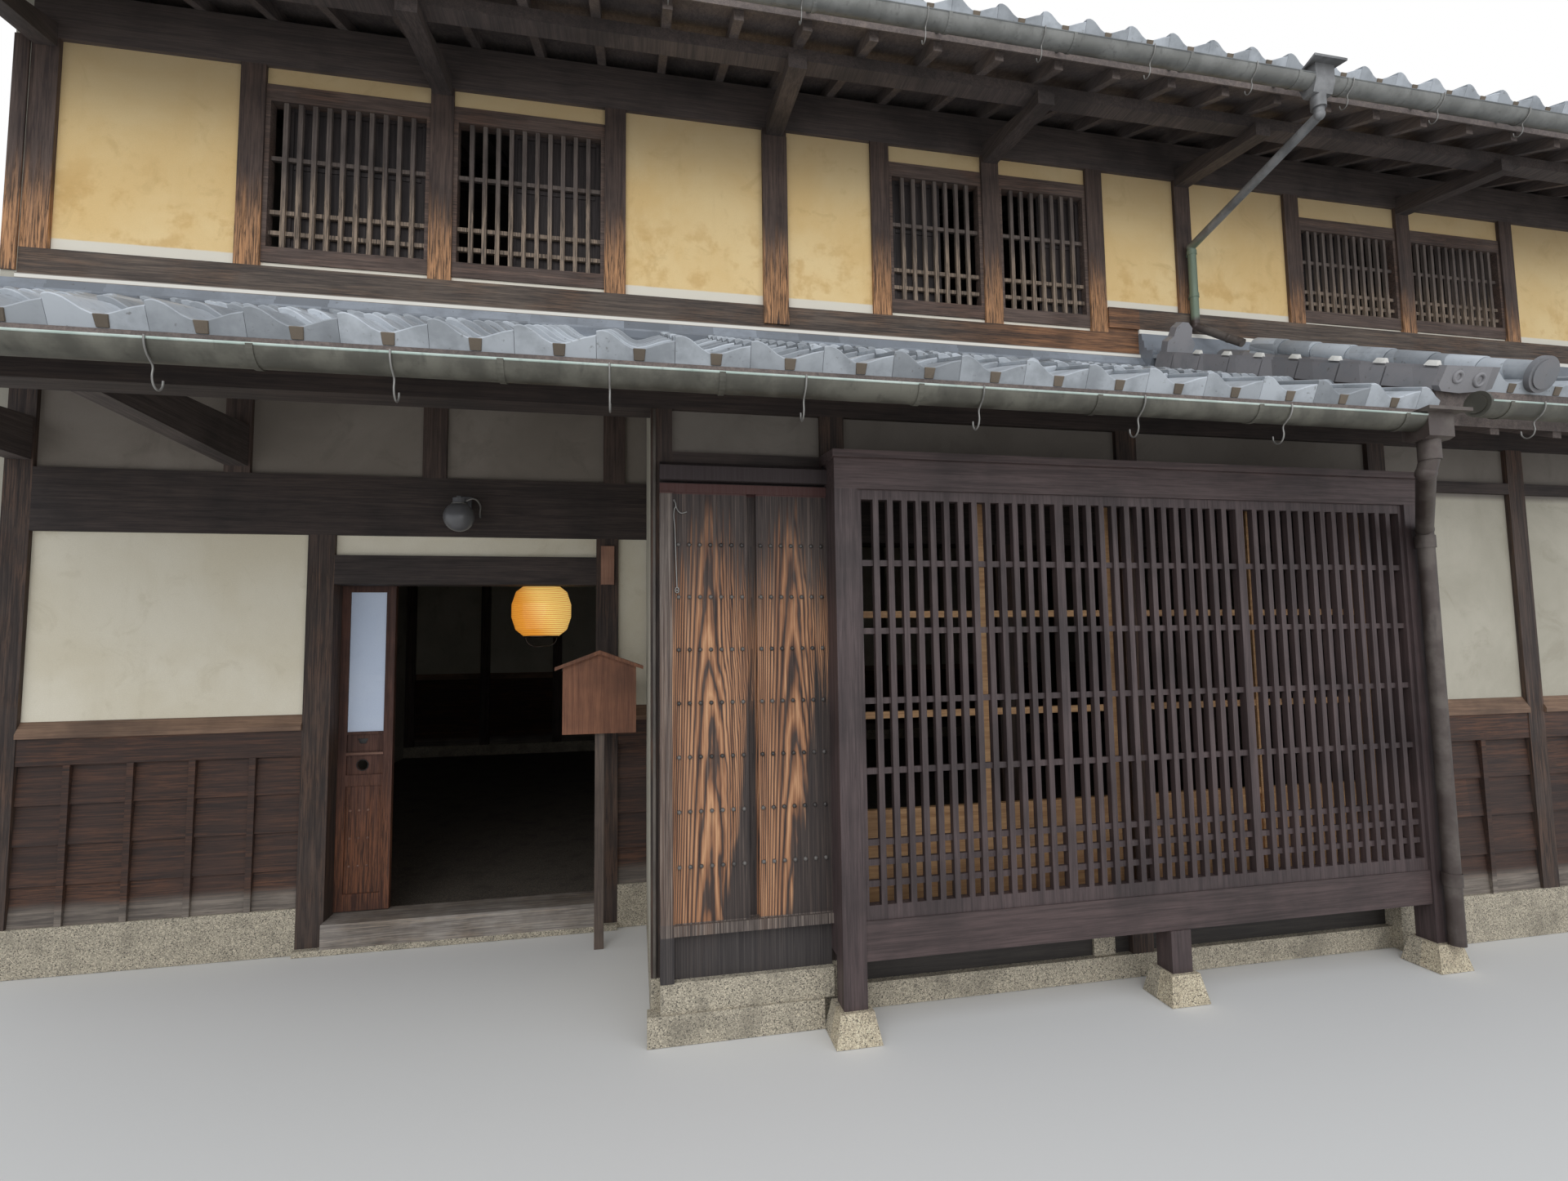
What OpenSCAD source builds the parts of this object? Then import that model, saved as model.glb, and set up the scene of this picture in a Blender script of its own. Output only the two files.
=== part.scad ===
// Two-storey machiya townhouse: entrance recess, shutter box, latticed front bay,
// lean-to roof and a low upper storey under a gable roof.
// The origin is the middle of the main floor's underside, +Z up, and the street is on the -Y side.

/* [Bays] */
// Post to post width of the four left bays
left_bay = 985; // [940:5:1020]
// Post to post width of the two plaster bays in the middle group
mid_panel_bay = 703; // [660:1:740]
// Post to post width of the two window bays in the middle group
mid_window_bay = 782; // [740:1:820]
// Post to post width of the two plaster bays in the right group
right_panel_bay = 930; // [880:5:980]
// Post to post width of the two window bays in the right group
right_window_bay = 1010; // [960:5:1060]
// Width and depth of the main posts
post_w = 125; // [110:1:140]
// Width of the broad post between the left and middle groups
broad_post_w = 158; // [145:1:175]
// Depth of the main house from the upper front wall to the rear wall
house_depth = 6900; // [6000:50:8000]
// Thickness of the two party walls
party_t = 72; // [60:1:90]

/* [Ground storey] */
// Height of the granite kerb behind the lattice bay
kerb_h = 105; // [90:5:125]
// Height of the granite base under the walls
base_h = 235; // [200:5:270]
// Thickness of the earthen floor
floor_t = 90; // [70:5:110]
// Top of the wooden threshold above the ground
threshold_top = 155; // [145:1:175]
// Clear height of the doorway
door_h = 1780; // [1700:10:1850]
// Clear width of the doorway
door_w = 1379; // [1250:1:1450]
// Left edge of the left door post, from the first post's centre
jamb_x = 1343; // [1300:1:1380]
// Width of the left door post
jamb_w = 133; // [110:1:150]
// Height of the door head
door_head_h = 160; // [130:5:190]
// Height of the plaster strip above the door head
strip_h = 110; // [80:5:140]
// Height of the big lintel beam
lintel_h = 330; // [280:5:380]
// Height of the plaster above the lintel beam
transom_h = 1010; // [960:5:1060]
// Top of the board siding above the ground
siding_top = 1157; // [1100:1:1200]
// Height of the ledge over the siding
ledge_h = 81; // [60:1:100]

/* [Front bay] */
// Distance of the ground-storey front from the upper front wall
front_out = 1250; // [1150:5:1350]
// Width of the front posts
front_post_w = 110; // [95:1:125]
// Thickness of the return wall beside the entrance
return_t = 90; // [75:1:105]
// Gap between the last entrance post and the return wall
return_gap = 162; // [140:1:190]
// Distance of the lattice face from the upper front wall
lattice_out = 1454; // [1420:1:1500]
// Width of the lattice bay's posts
lattice_post_w = 99; // [85:1:110]
// Height of the footing stones
footing_h = 120; // [100:5:140]
// Underside of the bay's bottom beam
bay_beam_z = 299; // [280:1:320]
// Height of the bay's bottom beam
bay_beam_h = 157; // [140:1:175]
// How much higher the bay's header lies than the lintel beam's underside
header_lift = 17; // [0:1:30]
// Height of the bay's header
header_h = 129; // [110:1:145]
// Thickness of the board that caps the header
cap_t = 53; // [40:1:60]
// Number of upright bars in each lattice panel
bars_per_panel = 13; // [9:1:15]
// Width of an upright lattice bar
bar_w = 25; // [18:1:30]
// Depth of an upright lattice bar
bar_d = 30; // [22:1:36]
// How far the shutter box stands out from the front wall
shutter_out = 60; // [50:1:75]

/* [Lower roof] */
// How much higher the lower eaves beam lies than the lintel beam's top
eaves_lift = 55; // [40:1:80]
// Height of that beam at its front face
eaves_beam_h = 137; // [120:1:150]
// Depth of that beam
eaves_beam_d = 140; // [120:1:160]
// Distance of the lower tiles' front edge from the upper front wall
lower_eave_out = 1900; // [1800:5:1980]
// Rise of the lower roof for each unit of run
lower_rise = 0.44; // [0.40:0.01:0.46]
// How much higher the right part of the lower roof lies
raised_step = 100; // [80:1:120]
// Distance of the raised part's edge before the ninth post's centre
raised_back = 410; // [350:5:450]

/* [Upper storey] */
// Height of the sill beam
sill_h = 145; // [120:1:165]
// Extra height of the sill under the right group of bays
raised_sill_h = 175; // [150:1:200]
// Height of the plaster panels between the posts
upper_h = 1167; // [1100:1:1230]
// Height of the wall plate above the panels, at its street face
plate_h = 268; // [240:2:300]
// Height of the plaster strip over the left windows
left_strip_h = 100; // [80:1:120]
// Height of the plaster strip over the middle windows
mid_strip_h = 112; // [90:1:130]
// Height of the plaster strip over the right windows
right_strip_h = 157; // [135:1:180]
// Distance between the middles of two window bars
window_bar_pitch = 72; // [66:1:80]
// Height of the upper floor above the lintel beam's top
upper_floor_lift = 670; // [600:10:720]

/* [Main roof] */
// Distance of the upper tiles' front edge from the wall
upper_eave_out = 967; // [920:1:1010]
// Rise of the main roof for each unit of run
upper_rise = 0.42; // [0.38:0.01:0.46]
// How far the main roof passes the party walls
verge_out = 250; // [200:5:300]
// How far the lower roof passes the party walls
lower_verge_out = 91; // [60:1:120]
// Distance between the left sides of two rafters
rafter_pitch = 360; // [330:5:400]
// Upright height of a rafter
rafter_h = 70; // [60:1:80]
// Width of a rafter
rafter_w = 50; // [42:1:60]
// Thickness of the roof boards
deck_t = 25; // [18:1:30]
// Height of the eaves board that lifts the main roof's tiles
eave_lift = 95; // [80:1:105]
// Width that one roof tile covers
tile_w = 264.5; // [255:0.5:275]
// Height of a tile's trough above the boards
trough_h = 35; // [28:1:45]
// Height of a tile's crest above its trough
crest_h = 54; // [45:1:60]
// Height of the ridge stack above the tiles
ridge_h = 260; // [220:5:300]
// Width of the ridge stack
ridge_w = 240; // [200:5:280]

/* [Rainwater] */
// Outer radius of a gutter
gutter_r = 55; // [48:1:62]
// Wall thickness of a gutter
gutter_t = 4; // [3:0.5:6]
// Distance of a gutter's middle from the front edge of the lower tiles
lower_gutter_out = 60; // [56:1:70]
// Distance of a gutter's middle from the front edge of the upper tiles
upper_gutter_out = 92; // [86:1:105]
// Outer radius of a downpipe
pipe_r = 35; // [30:1:42]

/* [Hidden] */
ROUND = 48;
tile_h = trough_h + crest_h;
bays = [left_bay, left_bay, left_bay, left_bay,
        mid_panel_bay, mid_window_bay, mid_window_bay, mid_panel_bay,
        right_panel_bay, right_window_bay, right_window_bay, right_panel_bay];
window_bays = [1, 2, 5, 6, 9, 10];
last = len(bays);
broad = 4;
raised_bay = 7;
function total(list, n) = n == 0 ? 0 : list[n - 1] + total(list, n - 1);
post_x = [for (i = [0 : last]) total(bays, i)];
half_post = post_w / 2;
house_x0 = -half_post;
house_x1 = post_x[last] + half_post;
left_face = house_x0 - party_t;
right_face = house_x1 + party_t;
ridge_y = house_depth / 2;
lower_gutter_y = -lower_eave_out - lower_gutter_out;
upper_gutter_y = -upper_eave_out - upper_gutter_out;
raised_x = post_x[8] - raised_back;
mid_x = (left_face + right_face) / 2;
mid_y = (lower_gutter_y - gutter_r + house_depth - upper_gutter_y + gutter_r) / 2;

// Heights of the ground storey, from the ground up
door_head_z = threshold_top + door_h;
strip_z = door_head_z + door_head_h;
lintel_z = strip_z + strip_h;
lintel_top = lintel_z + lintel_h;
sill_z = lintel_top + transom_h;
sill_top = sill_z + sill_h;
raised_sill_top = sill_top + raised_sill_h;
panel_top = sill_top + upper_h;
plate_top = panel_top + plate_h;
ledge_top = siding_top + ledge_h;
header_z = lintel_z + header_lift;
eaves_beam_z = lintel_top + eaves_lift;
upper_floor_z = lintel_top + upper_floor_lift;
cap_top = header_z + header_h + cap_t;

// Entrance wall and return wall
door_x0 = jamb_x + jamb_w;
door_x1 = door_x0 + door_w;
return_x0 = door_x1 + post_w + return_gap;
return_x1 = return_x0 + return_t;
step_h = 30;
step_out = 40;
rail_d = 55;
fit = 6;
panel_y = 25;
panel_t = 60;

// Ground-storey front and bay
front_y = -front_out;
frame_back = front_y + front_post_w;
lattice_y = -lattice_out;
front_posts = [4, 6, 8, 9, 10, 11];
half_front = front_post_w / 2;
bay_x0 = post_x[4] - lattice_post_w / 2;
bay_x1 = post_x[8] - half_front;

// Roof boards
board_y = -upper_eave_out + 52;
lower_board_y = -lower_eave_out + 50;
fascia_t = 16;
roof_x0 = left_face - verge_out;
roof_x1 = right_face + verge_out;
lower_x0 = left_face - lower_verge_out;
lower_x1 = right_face + lower_verge_out;
rafter_inset = 30;
rafter_count = floor((house_x1 - house_x0 - 2 * rafter_inset - rafter_w) / rafter_pitch);
flash_d = 100;
line_h = 30;
line_t = 14;

// Underside of the lower rafters and top of the lower roof boards at a distance y
function lower_z(y) = eaves_beam_z + eaves_beam_h + lower_rise * (y + front_out);
function lower_top(y) = lower_z(y) + rafter_h + deck_t;
// Underside of the main rafters and top of the main roof boards on the street side
function upper_z(y) = plate_top + upper_rise * y;
function upper_top(y) = upper_z(y) + rafter_h + deck_t;

// The clear stretch of a bay between its posts, and what stands in it
function post_size(i) = i == broad ? broad_post_w : post_w;
function bay_from(i) = post_x[i] + post_size(i) / 2;
function bay_to(i) = post_x[i + 1] - post_size(i + 1) / 2;
function foot_z(i) = i >= raised_bay ? raised_sill_top : sill_top;
function is_window(i) = len(search(i, window_bays)) > 0;
function over_window(i) = i < 4 ? left_strip_h : i < 8 ? mid_strip_h : right_strip_h;
function rafter_x(i) = house_x0 + rafter_inset + i * rafter_pitch;

// Moves the house so that the middle of its base is the origin
module place() translate([-mid_x, -mid_y, 0]) children();

// A box from its lowest to its highest corner
module block(low, high) translate(low) cube(high - low);

// A profile in Y and Z, drawn out along X from x0 to x1
module along_x(x0, x1, points)
    translate([x0, 0, 0]) rotate([90, 0, 90]) linear_extrude(x1 - x0) polygon(points);

// The street side, and the same thing again on the rear side
module both_sides() {
    children();
    translate([0, house_depth, 0]) mirror([0, 1, 0]) children();
}

// A layer of the gable roof between two heights above the rafters' underside
module gable_layer(x0, x1, y, low, high)
    along_x(x0, x1, [[y, upper_z(y) + low], [ridge_y, upper_z(ridge_y) + low],
                     [house_depth - y, upper_z(y) + low], [house_depth - y, upper_z(y) + high],
                     [ridge_y, upper_z(ridge_y) + high], [y, upper_z(y) + high]]);

// A layer of the lean-to roof between two heights above its boards
module lean_layer(x0, x1, y0, y1, low, high)
    along_x(x0, x1, [[y0, lower_top(y0) + low], [y1, lower_top(y1) + low],
                     [y1, lower_top(y1) + high], [y0, lower_top(y0) + high]]);

// A round rod between two points
module rod(from, to, r) {
    way = to - from;
    length = norm(way);
    translate(from) rotate([0, acos(way.z / length), atan2(way.y, way.x)])
        cylinder(h = length, r = r, $fn = ROUND);
}

module ground_floor() color("dimgray") place()
    linear_extrude(floor_t) polygon([
        [house_x0, post_w + rail_d], [return_x0, post_w + rail_d], [return_x0, post_w],
        [return_x1, post_w], [return_x1, frame_back], [house_x1, frame_back],
        [house_x1, house_depth - post_w], [house_x0, house_depth - post_w]]);

module upper_floor() color("peru") place()
    block([house_x0, post_w, upper_floor_z - floor_t], [house_x1, house_depth - post_w, upper_floor_z]);

module stone_base() color("lightgray") place() {
    block([house_x0, 0, 0], [jamb_x, post_w, base_h]);
    block([jamb_x, -step_out, 0], [door_x1 + post_w, post_w, step_h]);
    block([door_x1 + post_w, 0, 0], [return_x1, post_w, base_h]);
    block([return_x0, front_y, 0], [return_x1, 0, base_h]);
    block([stile_x, front_y - shutter_out, base_h / 2], [bay_x0, front_y, base_h]);
    block([return_x0 - 16, front_y - shutter_out - 14, 0],
          [post_x[4] - footing_w / 2, front_y, base_h / 2]);
    block([return_x1, front_y, 0], [kerb_x0, frame_back, base_h]);
    block([kerb_x0, front_y + kerb_back, 0], [kerb_x1, frame_back, kerb_h]);
    block([kerb_x1, front_y, 0], [house_x1, frame_back, base_h]);
    block([house_x0, house_depth - post_w, 0], [house_x1, house_depth, base_h]);
    block([block_x, front_y + kerb_back + 20, kerb_h], [block_x + 110, frame_back - void_t, screen_z]);
    for (x = lattice_post_x) translate([x, lattice_y + lattice_post_w / 2, 0]) footing();
}
kerb_x0 = post_x[4] + half_front;
kerb_x1 = post_x[8] - half_front;
kerb_back = 50;
void_t = 25;
block_x = post_x[6] - 245;
lattice_post_x = [post_x[4], post_x[6], bay_x1];
footing_w = 190;

// A footing stone under a bay post, wider at its foot
module footing() {
    foot = footing_w / 2;
    head = (lattice_post_w + 40) / 2;
    polyhedron(
        [[-foot, -foot, 0], [foot, -foot, 0], [foot, foot, 0], [-foot, foot, 0],
         [-head, -head, footing_h], [head, -head, footing_h], [head, head, footing_h],
         [-head, head, footing_h]],
        [[0, 1, 2, 3], [7, 6, 5, 4], [4, 5, 1, 0], [5, 6, 2, 1], [6, 7, 3, 2], [7, 4, 0, 3]]);
}

module threshold() color("saddlebrown") place() {
    block([door_x0, -step_out, step_h], [door_x1, post_w, threshold_top]);
    block([house_x0, post_w, 0], [return_x0, post_w + rail_d, threshold_top]);
}

module entry_posts() color("maroon") place() {
    block([house_x0, 0, base_h], [half_post, post_w, sill_z]);
    block([jamb_x, 0, step_h], [door_x0, post_w, lintel_z]);
    block([door_x1, 0, step_h], [door_x1 + post_w, post_w, lintel_z]);
    block([return_x0, 0, base_h], [return_x1, post_w, lintel_z]);
    for (i = [4 : 2 : last])
        block([post_x[i] - half_post, 0, floor_t], [post_x[i] + half_post, post_w, lintel_z]);
}

// Lapped siding boards with upright battens, a rail and a ledge, between x0 and x1
module siding(x0, x1, face) {
    rail_z = siding_top - siding_rail_h;
    back = face + panel_t + 10;
    board_h = (rail_z - base_h) / boards;
    along_x(x0, x1, concat(
        [[back, base_h]],
        [for (i = [0 : boards - 1]) each [[face + 14, base_h + i * board_h],
                                          [face + 28, base_h + (i + 1) * board_h]]],
        [[face + 4, rail_z], [face + 4, siding_top], [face - 12, siding_top], [face - 12, siding_top + 24],
         [face + 22, ledge_top], [back, ledge_top]]));
    for (x = [x0 + batten_first : batten_pitch : x1 - batten_first / 2])
        block([x, face, base_h], [x + batten_w, face + 40, rail_z]);
}
boards = 4;
batten_first = 207;
batten_pitch = 277;
batten_w = 30;
siding_rail_h = 135;

module entry_boards() color("sienna") place() {
    siding(half_post, jamb_x, 0);
    siding(door_x1 + post_w, return_x0, 0);
}

module entry_plaster() color("tan") place() {
    block([half_post, panel_y, ledge_top], [jamb_x, panel_y + panel_t, lintel_z]);
    block([door_x0, panel_y, strip_z], [door_x1, panel_y + panel_t, lintel_z]);
    block([door_x1 + post_w, panel_y, ledge_top], [return_x0, panel_y + panel_t, lintel_z]);
}

module door_head() color("brown") place() {
    block([door_x0, 0, door_head_z], [door_x1, post_w, strip_z]);
    block([house_x0, post_w, leaf_top + fit], [return_x0, post_w + rail_d, strip_z]);
}

module lintel_beam() color("maroon") place()
    block([half_post, 0, lintel_z], [house_x1, post_w, lintel_top]);

leaf_w = door_w + 51;
leaf_t = 35;
leaf_x0 = 320;
leaf_y = post_w + 8;
leaf_bottom = threshold_top + fit;
leaf_top = door_head_z + 25;
// Door leaf: stiles and rails with five columns of recessed fields on both faces, and a finger hole
module door_leaf() color("burlywood") place() difference() {
    block([leaf_x0, leaf_y, leaf_bottom], [leaf_x0 + leaf_w, leaf_y + leaf_t, leaf_top]);
    panel = (leaf_w - 2 * edge_stile - (columns - 1) * inner_stile) / columns;
    leaf_h = leaf_top - leaf_bottom;
    for (c = [0 : columns - 1]) {
        x = leaf_x0 + edge_stile + c * (panel + inner_stile);
        for (rows = [[0.05, 0.372], [0.405, 0.463], [0.475, 0.528], [0.536, 0.967]])
            for (y = [leaf_y - 1, leaf_y + leaf_t - recess]) block(
                [x, y, leaf_bottom + rows[0] * leaf_h],
                [x + panel, y + recess + 1, leaf_bottom + rows[1] * leaf_h]);
    }
    translate([leaf_x0 + leaf_w - edge_stile - 0.57 * panel, leaf_y - 1, leaf_bottom + 0.434 * leaf_h])
        rotate([-90, 0, 0]) cylinder(h = leaf_t + 2, r = hole_r, $fn = ROUND);
}
hole_r = 26;
columns = 5;
edge_stile = 48;
inner_stile = 102;
recess = 12;

module return_wall() color("tan") place()
    along_x(return_x0, return_x1, [
        [frame_back, base_h], [0, base_h], [0, ledger_z], [-ledger_d, ledger_z],
        [-ledger_d, lower_z(-ledger_d)], [beam_back, lower_z(beam_back)],
        [beam_back, eaves_beam_z], [frame_back, eaves_beam_z]]);
ledger_d = 60;
ledger_z = lower_z(-ledger_d) - 120;
beam_back = front_y + eaves_beam_d;

module front_frame() color("maroon") place() {
    block([return_x0, front_y, base_h], [return_x1, frame_back, eaves_beam_z]);
    for (i = front_posts)
        block([post_x[i] - half_front, i == 6 ? front_y + kerb_back : front_y, i == 6 ? kerb_h : base_h],
              [post_x[i] + half_front, frame_back, i == 6 ? screen_z : eaves_beam_z]);
    block([post_x[6] - half_front, front_y, screen_z], [post_x[6] + half_front, frame_back, eaves_beam_z]);
    block([house_x1 - front_post_w, front_y, base_h], [house_x1, frame_back, eaves_beam_z]);
}

module front_rail() color("maroon") place() for (i = [0 : len(front_posts)])
    block([front_edges[2 * i], front_y, cap_top - rail_h], [front_edges[2 * i + 1], frame_back, cap_top]);
rail_h = 60;

front_edges = concat([return_x1], [for (i = front_posts) each
    [post_x[i] - half_front, post_x[i] + half_front]], [house_x1 - front_post_w]);
module front_plaster() color("tan") place() {
    for (i = [0 : len(front_posts)])
        block([front_edges[2 * i], front_y + panel_y, cap_top],
              [front_edges[2 * i + 1], front_y + panel_y + panel_t, eaves_beam_z]);
    for (i = [3 : len(front_posts)])
        block([front_edges[2 * i], front_y + panel_y, ledge_top],
              [front_edges[2 * i + 1], front_y + panel_y + panel_t, cap_top - rail_h]);
}

module front_boards() color("sienna") place() {
    block([front_edges[0], front_y, base_h], [front_edges[1], front_y + panel_t, cap_top - rail_h]);
    for (i = [3 : len(front_posts)])
        siding(front_edges[2 * i], front_edges[2 * i + 1], front_y);
    for (i = [1, 2])
        block([front_edges[2 * i], frame_back - void_t, kerb_h],
              [front_edges[2 * i + 1], frame_back, screen_z]);
}

screen_z = 300;
screen_low = 500;
module inner_screens() color("burlywood") place()
    for (i = [1, 2]) screen(front_edges[2 * i], front_edges[2 * i + 1]);

// A light screen between two front posts: low panel, two rails and a middle stile
module screen(x0, x1) {
    y0 = frame_back - 40;
    top = cap_top - rail_h;
    mid = (x0 + x1) / 2;
    block([x0, y0, screen_z], [x1, frame_back, screen_z + 45]);
    block([x0, y0, top - 45], [x1, frame_back, top]);
    for (x = [x0, mid - 20, x1 - 40]) block([x, y0, screen_z], [x + 40, frame_back, top]);
    block([x0, y0 + 12, screen_z], [x1, frame_back - 12, screen_z + screen_low]);
    for (z = concat(screen_z + screen_low, screen_rails))
        block([x0, y0 + 4, z], [x1, frame_back - 4, z + 30]);
}
screen_rails = [1235, 1690];

// Shutter box: a back, a stile beside two tall boards between two rails, and a cap
module shutter_box() color("sienna") place() {
    face = front_y - shutter_out;
    low_rail = base_h + 180;
    top_rail = header_z - 7;
    board_w = (bay_x0 - return_x1 - board_gap) / 2;
    back = front_y - shutter_out / 2;
    block([stile_x, back, base_h], [bay_x0, front_y, header_z + header_h]);
    block([stile_x, face - 10, base_h], [return_x1, back, top_rail]);
    for (x = [return_x1, bay_x0 - board_w])
        block([x, face, low_rail + low_rail_h], [x + board_w, back, top_rail]);
    block([return_x1, face - 12, low_rail], [bay_x0, back, low_rail + low_rail_h]);
    block([stile_x, face - 4, top_rail], [bay_x0, back, top_rail + top_rail_h]);
    along_x(stile_x, bay_x0, [
        [face - 25, top_rail + 50], [back, top_rail + 50],
        [back, header_z + header_h], [face - 25, header_z + header_h - 25]]);
}
board_gap = 41;
low_rail_h = 42;
top_rail_h = 38;
stile_x = return_x1 - 55;

module lattice_posts() color("maroon") place()
    for (x = lattice_post_x)
        block([x - lattice_post_w / 2, lattice_y, footing_h],
              [x + lattice_post_w / 2, lattice_y + lattice_post_w,
               x == lattice_post_x[1] ? bay_beam_z : header_z]);

module bay_beam() color("maroon") place()
    block([bay_x0 + lattice_post_w, lattice_y + 8, bay_beam_z],
          [bay_x1 - lattice_post_w / 2, front_y, bay_beam_z + bay_beam_h]);

module bay_ends() color("maroon") place() for (x = [bay_x0, bay_x1 + lattice_post_w / 2 - end_t])
    block([x, lattice_y + lattice_post_w, bay_beam_z], [x + end_t, front_y, header_z]);
end_t = 22;

module bay_header() color("maroon") place() {
    x1 = bay_x1 + lattice_post_w / 2;
    block([bay_x0, lattice_y, header_z], [x1, front_y, header_z + header_h + cap_t / 2]);
    along_x(bay_x0 - 12, x1 + 12, [[lattice_y - 26, header_z + header_h], [front_y, header_z + header_h],
                                   [front_y, cap_top], [lattice_y - 26, cap_top - 22]]);
}

lattice_z0 = bay_beam_z + bay_beam_h;
module bay_lattice() color("dimgray") place() {
    x0 = bay_x0 + lattice_post_w;
    x1 = lattice_post_x[2] - lattice_post_w / 2;
    panel_w = (x1 - x0) / 3;
    y0 = lattice_y + 15;
    block([x0, y0, lattice_z0], [x1, y0 + 40, lattice_z0 + 58]);
    block([x0, y0, header_z - 42], [x1, y0 + 40, header_z]);
    open_h = header_z - lattice_z0;
    for (share = [0.072, 0.12, 0.165, 0.328, 0.491, 0.655, 0.817])
        block([x0, y0 + 12, lattice_z0 + share * open_h],
              [x1, y0 + 32, lattice_z0 + share * open_h + bar_w]);
    for (p = [0 : 2]) {
        from = x0 + p * panel_w;
        pitch = (panel_w - 40) / (bars_per_panel + 1);
        for (side = [0, panel_w - 20])
            block([from + side, y0, lattice_z0], [from + side + 20, y0 + 40, header_z]);
        for (b = [1 : bars_per_panel])
            block([from + 20 + b * pitch - bar_w / 2, y0, lattice_z0],
                  [from + 20 + b * pitch + bar_w / 2, y0 + bar_d, header_z]);
    }
}

module eaves_beam() color("maroon") place() {
    along_x(lower_x0, house_x1, [
        [front_y, eaves_beam_z], [beam_back, eaves_beam_z],
        [beam_back, lower_z(beam_back)], [front_y, lower_z(front_y)]]);
    along_x(house_x0, house_x1, [[-ledger_d, ledger_z], [0, ledger_z], [0, lower_z(0)],
                                 [-ledger_d, lower_z(-ledger_d)]]);
}

module eaves_arms() color("maroon") place()
    for (i = [0, 1]) along_x(post_x[i] - 52, post_x[i] + 52, [
        [beam_back, eaves_beam_z], [0, eaves_beam_z - 20], [0, eaves_beam_z + 205],
        [beam_back, eaves_beam_z + eaves_beam_h]]);

module lower_rafters() color("sienna") place()
    for (i = [0 : rafter_count])
        lean_layer(rafter_x(i), rafter_x(i) + rafter_w, lower_board_y, 0, -rafter_h - deck_t, -deck_t);

module lower_deck() color("sienna") place() {
    lean_layer(lower_x0, lower_x1, lower_board_y, 0, -deck_t, 0);
    lean_layer(lower_x0, lower_x1, lower_board_y - fascia_t, lower_board_y, -deck_t - 38, 0);
    lean_layer(raised_x, lower_x1, lower_board_y - fascia_t, 0, 0, raised_step);
}

// Height of a tile above the boards along its width, from its left edge to its right edge
tile_line = [[0, 0.92], [0.08, 1], [0.2, 0.8], [0.35, 0.28], [0.52, 0], [0.7, 0.22], [0.86, 0.5],
             [1, 0.66]];

// Tiles side by side from x0 to x1, joined up from a joint at start, as a profile in X and height
module tile_profile(x0, x1, start) {
    first = floor((x0 - start) / tile_w);
    final = ceil((x1 - start) / tile_w) - 1;
    intersection() {
        polygon(concat(
            [[start + (final + 1) * tile_w, 0], [start + first * tile_w, 0]],
            [for (i = [first : final]) for (point = tile_line)
                [start + (i + point[0]) * tile_w, trough_h + crest_h * point[1]]]));
        translate([x0, -1]) square([x1 - x0, tile_h + 2]);
    }
}

// A field of tiles on boards that pass through the point (y, z) and rise inward at a given slope
module tile_field(x0, x1, y, z, length, slope, start)
    on_slope(y, z + laid_gap, slope) linear_extrude(length) tile_profile(x0, x1, start);

// Turns X, height and length up the slope into their places on a slope through (y, z)
module on_slope(y, z, slope)
    translate([0, y, z]) rotate([90 + atan(slope), 0, 0]) mirror([0, 0, 1]) children();
laid_gap = 0.3;

joint_shift = 376;
first_joint = post_x[1] + joint_shift;
lower_tile_y = -lower_eave_out + tile_h * 0.4;
lower_length = (-flash_d - lower_tile_y) * sqrt(1 + lower_rise * lower_rise) - laid_gap;
module lower_tiles_left() color("silver") place()
    tile_field(lower_x0, raised_x - laid_gap, lower_tile_y, lower_top(lower_tile_y), lower_length, lower_rise,
               first_joint);

module lower_tiles_right() color("silver") place()
    tile_field(raised_x, lower_x1, lower_tile_y, lower_top(lower_tile_y) + raised_step, lower_length,
               lower_rise, raised_x + 6);

module wall_flashing() color("silver") place() {
    flashing(lower_x0, raised_x, 0, sill_z - line_h);
    flashing(raised_x, lower_x1, raised_step, sill_top);
}

// Courses that close a roof against the wall, up to the height z
module flashing(x0, x1, lift, z) {
    foot = lower_top(-flash_d) + lift;
    low = foot + tile_h * cos(atan(lower_rise));
    front = -flash_d - tile_h * sin(atan(lower_rise));
    step = (z - low) / 3;
    along_x(x0, x1, [[-flash_d, foot], [0, lower_top(0) + lift], [0, z], [-line_t, z],
                     [-line_t - 18, z - 6], [-line_t - 24, z - step], [-line_t - 36, z - step],
                     [-line_t - 44, z - 2 * step], [-line_t - 56, z - 2 * step],
                     [-line_t - 66, low + step * 0.6], [front, low + step * 0.3], [front, low]]);
}

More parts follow.
